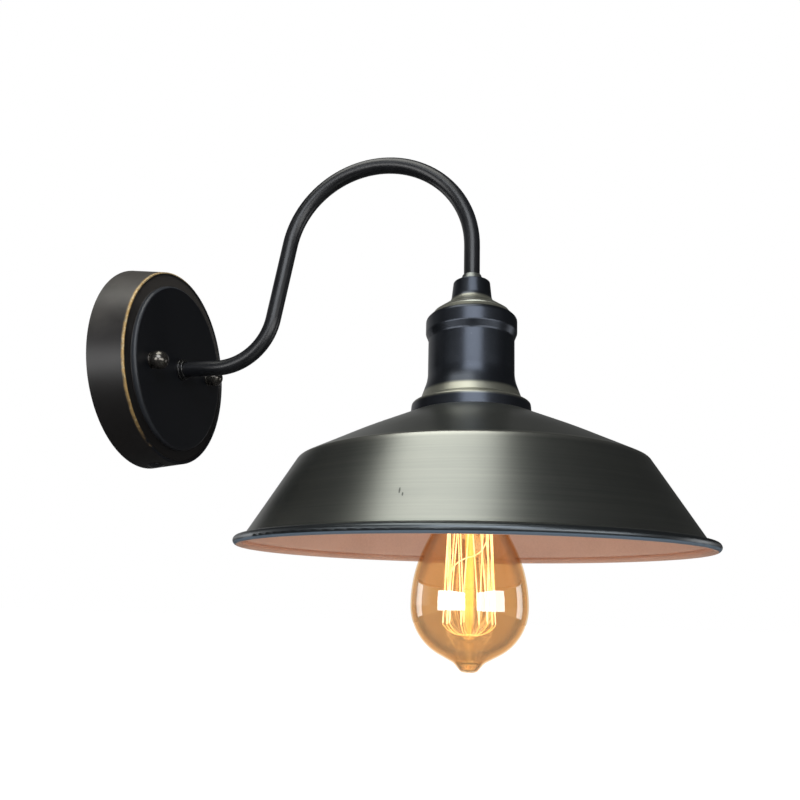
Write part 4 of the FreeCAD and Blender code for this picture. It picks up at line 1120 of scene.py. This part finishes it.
def show(name: str, data: bpy.types.ID) -> bpy.types.Object:
    """Put data into the scene as an object.

    Args:
        name: the object's name.
        data: its mesh, curve, lamp or camera.

    Returns:
        The object.
    """
    piece = bpy.data.objects.new(name, data)
    bpy.context.scene.collection.objects.link(piece)
    return piece


def heading_to(heading: float, height: float) -> Vector:
    """Find a direction.

    Args:
        heading: its heading in degrees, from +X toward +Y.
        height: its elevation in degrees.

    Returns:
        The direction, one metre long.
    """
    heading, height = math.radians(heading), math.radians(height)
    level = math.cos(height)
    return Vector((level * math.cos(heading), level * math.sin(heading), math.sin(height)))


# ---------------------------------------------------------------- camera and studio


@dataclass(frozen=True)
class Viewpoint:
    """The camera, low and in front of the lamp's left side.

    Attributes:
        yaw: its heading in degrees, from +X toward +Y.
        pitch: how far it looks up, in degrees.
        roll: how far it leans, in degrees.
        focal: the focal length in pixels of the picture.
        picture: the picture's width in pixels.
        level: the picture row that the lens axis meets.
        sensor: the sensor's width in millimetres.
    """

    place: Triple = (-0.40823, -0.26157, -0.1385)
    yaw: float = 12.775
    pitch: float = 8.868
    roll: float = 1.307
    focal: float = 728.13
    picture: float = 800.0
    level: float = 480.0
    sensor: float = 36.0
    nearest: float = 0.01

    def axes(self) -> tuple[Vector, Vector, Vector]:
        """Work out how the camera stands.

        Returns:
            Its right, up and backward directions.
        """
        forward, roll = heading_to(self.yaw, self.pitch), math.radians(self.roll)
        right = forward.cross(Vector((0, 0, 1))).normalized()
        up = right.cross(forward)
        tilted_right = right * math.cos(roll) + up * math.sin(roll)
        tilted_up = up * math.cos(roll) - right * math.sin(roll)
        return tilted_right, tilted_up, -forward

    def build(self) -> None:
        """Make the camera and give it to the scene."""
        data = bpy.data.cameras.new("viewpoint")
        data.sensor_width = self.sensor
        data.lens = self.focal / self.picture * self.sensor
        data.shift_y = (self.level - self.picture / 2) / self.picture
        data.clip_start = self.nearest
        camera = show("viewpoint", data)
        turn = Matrix(self.axes()).transposed().to_4x4()
        camera.matrix_world = Matrix.Translation(self.place) @ turn
        bpy.context.scene.camera = camera


@dataclass(frozen=True)
class SoftBox:
    """One soft lamp of the studio, aimed at the light.

    Attributes:
        heading: its direction from the lamp head in degrees, from +X toward +Y.
        height: its elevation there in degrees.
        radiance: how bright its face is.
        on_matt: whether it lights matt surfaces, or only shows in glossy ones.
    """

    name: str
    heading: float
    height: float
    size: Span
    radiance: float
    colour: Colour = WHITE
    on_matt: bool = False
    distance: float = 1.5

    def build(self, aim: Vector) -> None:
        """Make the lamp.

        Args:
            aim: the point that it faces.
        """
        data = bpy.data.lights.new(self.name, "AREA")
        data.shape = "RECTANGLE"
        data.size, data.size_y = self.size
        data.energy = self.radiance * math.pi * self.size[0] * self.size[1]
        data.color = self.colour
        lamp = show(self.name, data)
        toward = heading_to(self.heading, self.height)
        lamp.location = aim + toward * self.distance
        lamp.rotation_euler = toward.to_track_quat("Z", "Y").to_euler()
        lamp.visible_diffuse = self.on_matt
        lamp.visible_camera = lamp.visible_transmission = False
        log.info("%s shines at %.1f", self.name, self.radiance)


@dataclass(frozen=True)
class Studio:
    """Floor, world and soft lamps round the light.

    Attributes:
        floor_drop: how far the floor lies below the lowest piece.
        ambient: the world's strength on matt surfaces.
        dark_room: how bright the room is in glossy surfaces.
        backdrop: how much brighter the wall behind the light is there.
        backdrop_heading: where that wall stands, in degrees from +X toward +Y.
        backdrop_side: how far a ray turns toward that wall where it starts and where it is full;
            backdrop_foot and backdrop_top say the same of its lower and upper edge.
    """

    aim: Vector
    floor_drop: float = 0.55
    floor_size: float = 30.0
    ambient: float = 0.50
    dark_room: float = 0.02
    backdrop: float = 0.38
    backdrop_heading: float = 45.0
    backdrop_side: Span = (0.35, 0.9)
    backdrop_foot: Span = (-0.15, 0.05)
    backdrop_top: Span = (0.75, 0.35)
    boxes: tuple[SoftBox, ...] = (
        SoftBox("overhead_box", 155.0, 69.0, (1.10, 0.95), 3.8, (1.0, 1.0, 0.94), on_matt=True),
        SoftBox("front_box", 192.0, 28.0, (1.15, 0.85), 4.6, (0.90, 0.94, 1.0), on_matt=True, distance=1.6),
        SoftBox("left_window", 152.0, -1.0, (1.55, 0.52), 4.2),
        SoftBox("right_window", 229.0, -1.0, (1.60, 0.54), 3.6),
        SoftBox("right_edge_window", 300.0, -4.0, (0.50, 0.62), 1.8),
        SoftBox("left_edge_window", 74.0, -4.0, (0.50, 0.62), 1.8),
    )

    def world(self) -> None:
        """Make the world: white behind the object, a dim room in what gloss shows."""
        world = bpy.data.worlds.new("studio_world")
        bpy.context.scene.world = world
        graph = Graph(world)
        camera, gloss, glass = graph.rays()
        x, y, height = graph.parts(graph.node("ShaderNodeTexCoord", output="Generated"))
        heading = math.radians(self.backdrop_heading)
        behind = (x * math.cos(heading) + y * math.sin(heading)).rise(*self.backdrop_side)
        backdrop = behind * height.rise(*self.backdrop_foot) * height.rise(*self.backdrop_top)
        room = self.dark_room + backdrop * self.backdrop
        seen = camera.either(glass)
        strength = seen + (1 - seen) * (gloss * room + (1 - gloss) * self.ambient)
        values = {"Color": WHITE, "Strength": strength}
        graph.close("ShaderNodeOutputWorld", graph.node("ShaderNodeBackground", values=values))

    def floor(self) -> None:
        """Make the floor, which isn't part of the object."""
        half, height = self.floor_size / 2, CAD_BOX[0].z - self.floor_drop
        corners = [(x * half, y * half, height) for x, y in ((-1, -1), (1, -1), (1, 1), (-1, 1))]
        mesh = bpy.data.meshes.new("floor")
        mesh.from_pydata(corners, [], [(0, 1, 2, 3)])
        mesh.materials.append(PaleFloor("pale_floor").material())
        floor = show("floor", mesh)

    def build(self) -> None:
        """Make the floor, the world and the lamps."""
        self.floor()
        self.world()
        for box in self.boxes:
            box.build(self.aim)


# ---------------------------------------------------------------- sub-assemblies


Finishes: TypeAlias = dict[tuple[str, ...], Finish]


class Assembly(ABC):
    """Pieces that belong together and are dressed together."""

    @abstractmethod
    def finishes(self) -> Finishes:
        """Return the finish of each group of nodes."""

    def build(self) -> None:
        """Dress every piece."""
        for names, finish in self.finishes().items():
            dress(names, finish.material())


@dataclass(frozen=True)
class WallCanopy(Assembly):
    """Canopy, its ball nuts and plug, and the bracket behind it.

    Attributes:
        front: how far the canopy's front edge stands from the wall.
    """

    front: float = 0.022
    worn_ring: Band = Band(0.0602, 0.0002, 0.0005)
    # The raised middle's edge band carries wear and a painted highlight.
    disc_wear_and_highlight_ring: Band = Band(0.0515, 0.0003, 0.0006)

    def finishes(self) -> Finishes:
        """Choose the finishes of the pieces on the wall.

        Returns:
            The finish of each group of nodes.
        """
        nuts = ("left_ball_nut", "right_ball_nut", "left_nut_washer", "right_nut_washer")
        bracket = ("wall_bracket", "canopy_studs", "stud_lock_nuts", "earth_ring_terminal")
        colours = (0.085, 0.078, 0.070), (0.150, 0.140, 0.126)
        black = SatinBlack("polished_black_nut", *colours, roughness=0.18, metallic=0.88)
        return {
            ("canopy",): WornCanopy("bronze_canopy_paint", self.front, self.worn_ring, self.disc_wear_and_highlight_ring),
            nuts: black,
            ("canopy_plug",): SatinBlack("glossy_black_plug", roughness=0.14),
            bracket: PlatedMetal("zinc_plate", (0.56, 0.57, 0.57), (0.38, 0.38, 0.36)),
            ("earth_screw",): PlatedMetal("green_brass", (0.62, 0.47, 0.20), (0.40, 0.30, 0.13)),
            ("terminal_block",): Moulded.WHITE.value,
            ("terminal_block_screws",): PlatedMetal("screw_steel", (0.5, 0.5, 0.5), (0.3, 0.3, 0.3)),
        }


@dataclass(frozen=True)
class GooseneckArm(Assembly):
    """Bent tube with its collar and the hardware that clamps it."""

    def finishes(self) -> Finishes:
        """Choose the finishes of the arm, its collar and its hardware.

        Returns:
            The finish of each group of nodes.
        """
        hardware = ("arm_bush", "bush_washer", "bush_nut", "lamp_nipple")
        hardware += ("cup_washer", "cup_nut", "holder_grub_screw")
        colours = (0.06, 0.06, 0.06), (0.12, 0.12, 0.115)
        return {
            ("arm_tube",): SatinBlack("satin_black_arm"),
            ("arm_collar",): SatinBlack("rubbed_black_collar", *colours, roughness=0.22, metallic=0.9),
            hardware: PlatedMetal("hardware_steel", (0.50, 0.50, 0.49), (0.34, 0.34, 0.32), 0.32),
        }


@dataclass(frozen=True)
class LampHead(Assembly):
    """Neck collar, neck cap and cup on the lamp's axis.

    Attributes:
        neck_cove_highlight: the neck cap's cove of painted highlight, above its lower edge, as neck_grooves
            are.
        cup_flare_highlight: the cup's flare of painted highlight, above its lower edge, as
            cup_step_highlight, also painted highlight, and cup_groove are; the cup_shoulder_highlight's
            painted highlight counts from its upper edge.
        collar_highlight_ring: the neck collar's band of painted highlight, above its middle.
    """

    axis: Vector
    neck_cove_highlight: Band = Band(0.0035, 0.0036, 0.0040)
    neck_grooves: tuple[Band, ...] = (Band(0.0042, 0.0003, 0.0003), Band(0.0010, 0.0002, 0.0003))
    cup_flare_highlight: Band = Band(0.0098, 0.0016, 0.0052)
    cup_step_highlight: Band = Band(0.0070, 0.0004, 0.0004)
    cup_groove: Band = Band(0.0084, 0.0002, 0.0003)
    cup_shoulder_highlight: Band = Band(-0.0010, 0.0014, 0.0014)
    collar_highlight_ring: Band = Band(0.0, 0.004, 0.001)
    collar_highlight_metal: Colour = (0.20, 0.21, 0.20)

    def finishes(self) -> Finishes:
        """Place the bands of painted highlight on the turned pieces.

        Returns:
            The pieces' finishes.
        """
        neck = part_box("neck_cap")[0].z
        # Bands of painted highlight where the cove, the flare, the step, the shoulder and the collar catch
        # the light.
        cove = self.neck_cove_highlight.moved(neck)
        grooves = tuple(groove.moved(neck) for groove in self.neck_grooves)
        cup, crest = (corner.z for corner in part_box("socket_cup"))
        rings = (self.cup_flare_highlight.moved(cup), self.cup_step_highlight.moved(cup), self.cup_shoulder_highlight.moved(crest))
        collar = self.collar_highlight_ring.moved(middle("neck_collar").z)
        return {
            ("neck_cap",): SpunPewter("neck_pewter", self.axis, (cove,), grooves),
            ("socket_cup",): SpunPewter("cup_pewter", self.axis, rings, (self.cup_groove.moved(cup),)),
            ("neck_collar",): SpunPewter("collar_pewter", self.axis, (collar,), painted_highlight=self.collar_highlight_metal),
        }


@dataclass(frozen=True)
class DomedShade(Assembly):
    """Spun shade and the ring that clamps it.

    Attributes:
        roll: half the thickness of the rolled rim.
        roll_fade: how softly the rim's painted shade starts, to each side.
        roll_highlight_line: the heights where the painted highlight stripe under the roll starts and where
            it is full,
        above the roll's middle.
        shoulder_wear_and_highlight_level: the heights of the shoulder's band of wear and painted highlight
            in the model's frame.
    """

    axis: Vector
    roll: float = 0.0023
    roll_fade: float = 0.0004
    roll_highlight_line: Span = (-0.0008, -0.0014)
    shoulder_wear_and_highlight_ring: Band = Band(0.0974, 0.0008, 0.0016)
    shoulder_wear_and_highlight_level: Band = Band(-0.067, 0.0020, 0.0016)
    marks: tuple[Mark, ...] = (
        Mark((-0.1148, -0.1949, -0.0958), (0.0030, 0.0004, 0.0017)),
        Mark((-0.1158, -0.1965, -0.0976), (0.0030, 0.0004, 0.0010)),
        Mark((-0.0938, -0.2609, -0.1094), (0.0024, 0.0012, 0.0005)),
    )

    def finishes(self) -> Finishes:
        """Place the rim's painted shade, the painted highlight stripe under the roll and the shoulder's
        band on the shade.

        Returns:
            The finishes of the shade and its ring.
        """
        low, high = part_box("shade")
        rim = (high.x - low.x) / 2 - 2 * self.roll
        roll_height = low.z + self.roll - self.axis.z
        # Heights of the painted highlight stripe under the roll.
        highlight_start, highlight_full = self.roll_highlight_line
        metal = BrushedPewter(
            rim_edge=(rim - self.roll_fade, rim + self.roll_fade),
            highlight_line_edge=(roll_height + highlight_start, roll_height + highlight_full),
            shoulder_wear_and_highlight_ring=self.shoulder_wear_and_highlight_ring,
            shoulder_wear_and_highlight_level=self.shoulder_wear_and_highlight_level.moved(-self.axis.z),
            marks=self.marks,
        )
        return {("shade",): SpunShade("spun_shade", self.axis, metal), ("shade_ring",): Moulded.BLACK.value}


@dataclass(frozen=True)
class Lampholder(Assembly):
    """Moulded holder with its porcelain core, shell, contact and clamps."""

    def finishes(self) -> Finishes:
        """Choose the finishes of the holder's pieces.

        Returns:
            The finish of each group of nodes.
        """
        moulded = SatinBlack("phenolic_black", (0.012, 0.012, 0.012), (0.02, 0.02, 0.02), roughness=0.26)
        brass = PlatedMetal("spun_brass", (0.70, 0.52, 0.23), (0.48, 0.33, 0.13), 0.26)
        return {
            ("holder_cap", "holder_body"): moulded,
            ("holder_core",): Moulded.PORCELAIN.value,
            ("screw_shell", "centre_contact", "terminal_posts"): brass,
            ("terminal_post_screws",): PlatedMetal("post_screw_steel", (0.5, 0.5, 0.5), (0.3, 0.3, 0.3)),
        }


@dataclass(frozen=True)
class FilamentBulb(Assembly):
    """Teardrop bulb with its cap, stem, wires and glowing filament.

    Attributes:
        glow_low: how far above the stem's foot its glow is orange; from glow_high on it is yellow.
        tie_radius: half the thickness of the bright tie wire.
        tie_toward: the level direction from the filament toward the eye.
        tie_aside: the level direction across it.
        tie_swing: how far the tie wire is aside and toward the eye, and its height in the frame.
    """

    axis: Vector
    glow_low: float = 0.006
    glow_high: float = 0.016
    tie_radius: float = 0.00032
    tie_rounding: int = 3
    tie_steps: int = 16
    tie_toward: Triple = (-0.992, -0.125, 0.0)
    tie_aside: Triple = (0.125, -0.992, 0.0)
    tie_swing: tuple[Triple, ...] = (
        (-0.0112, 0.0072, -0.1365),
        (-0.0104, 0.0084, -0.1290),
        (-0.0080, 0.0106, -0.1228),
        (-0.0030, 0.0130, -0.1192),
        (0.0036, 0.0130, -0.1168),
        (0.0078, 0.0108, -0.1122),
        (0.0104, 0.0078, -0.1030),
    )

    def finishes(self) -> Finishes:
        """Place the glow on the stem.

        Returns:
            The finishes of the bulb's pieces.
        """
        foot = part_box("bulb_stem")[0].z
        glow_heights = (foot + self.glow_low, foot + self.glow_high)
        # The support wires and leads glow with painted light from the filament.
        painted_glow_supports = GlowingWire("support_painted_glow", (1.0, 0.70, 0.30), (1.0, 0.85, 0.45), 2.0)
        return {
            ("bulb_glass",): AmberGlass("amber_glass"),
            ("bulb_stem",): GlowingGlass("stem_glass", glow_heights),
            ("bulb_filament",): GlowingWire("filament_glow", (1.0, 0.88, 0.55), (1.0, 1.0, 0.90), 3.0),
            ("bulb_supports", "bulb_leads"): painted_glow_supports,
            ("bulb_cap",): PlatedMetal("nickel_cap", (0.68, 0.64, 0.55), (0.50, 0.45, 0.36), 0.22),
            ("bulb_insulator",): SatinBlack("insulator_glass", roughness=0.12),
            ("bulb_contact",): Moulded.SOLDER.value,
        }

    def tie_wire(self) -> None:
        """Make the bright wire that swings across in front of the filament."""
        curve = bpy.data.curves.new("bulb_tie_wire", "CURVE")
        curve.dimensions = "3D"
        curve.bevel_depth = self.tie_radius
        curve.bevel_resolution = self.tie_rounding
        curve.resolution_u = self.tie_steps
        curve.use_fill_caps = True
        spline = curve.splines.new("BEZIER")
        spline.bezier_points.add(len(self.tie_swing) - 1)
        toward, aside = Vector(self.tie_toward), Vector(self.tie_aside)
        for knot, (along, out, height) in zip(spline.bezier_points, self.tie_swing):
            knot.co = Vector((self.axis.x, self.axis.y, height)) + aside * along + toward * out
            knot.handle_left_type = knot.handle_right_type = "AUTO"
        wire = show("bulb_tie_wire", curve)
        # Painted light: the tie wire glows with the filament's light.
        glow = GlowingWire("tie_wire_painted_glow", (1.0, 0.94, 0.72), (1.0, 1.0, 0.90), 2.8)
        wire.data.materials.append(glow.material())
        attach(wire, "bulb")
        log.info("%s is added", wire.name)

    def build(self) -> None:
        """Dress the bulb and add its tie wire."""
        super().build()
        self.tie_wire()


@dataclass(frozen=True)
class Wiring(Assembly):
    """The insulated wires inside the canopy and the arm."""

    def finishes(self) -> Finishes:
        """Choose the finishes of the wires.

        Returns:
            The finish of each group of nodes.
        """
        return {
            ("live_wire",): Moulded.BROWN_WIRE.value,
            ("neutral_wire",): Moulded.BLUE_WIRE.value,
            ("earth_wire",): StripedWire("green_yellow_wire"),
        }


def main() -> None:
    """Build the camera and the studio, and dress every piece."""
    logging.basicConfig(level=logging.INFO, format="%(name)s: %(message)s")
    scene = bpy.context.scene
    scene.view_settings.view_transform = "Standard"
    axis = middle("shade")
    Viewpoint().build()
    Studio(axis).build()
    assemblies = (
        WallCanopy(),
        GooseneckArm(),
        LampHead(axis),
        DomedShade(axis),
        Lampholder(),
        FilamentBulb(axis),
        Wiring(),
    )
    for assembly in assemblies:
        assembly.build()
        log.info("%s is dressed", type(assembly).__name__)


if __name__ == "__main__":
    main()
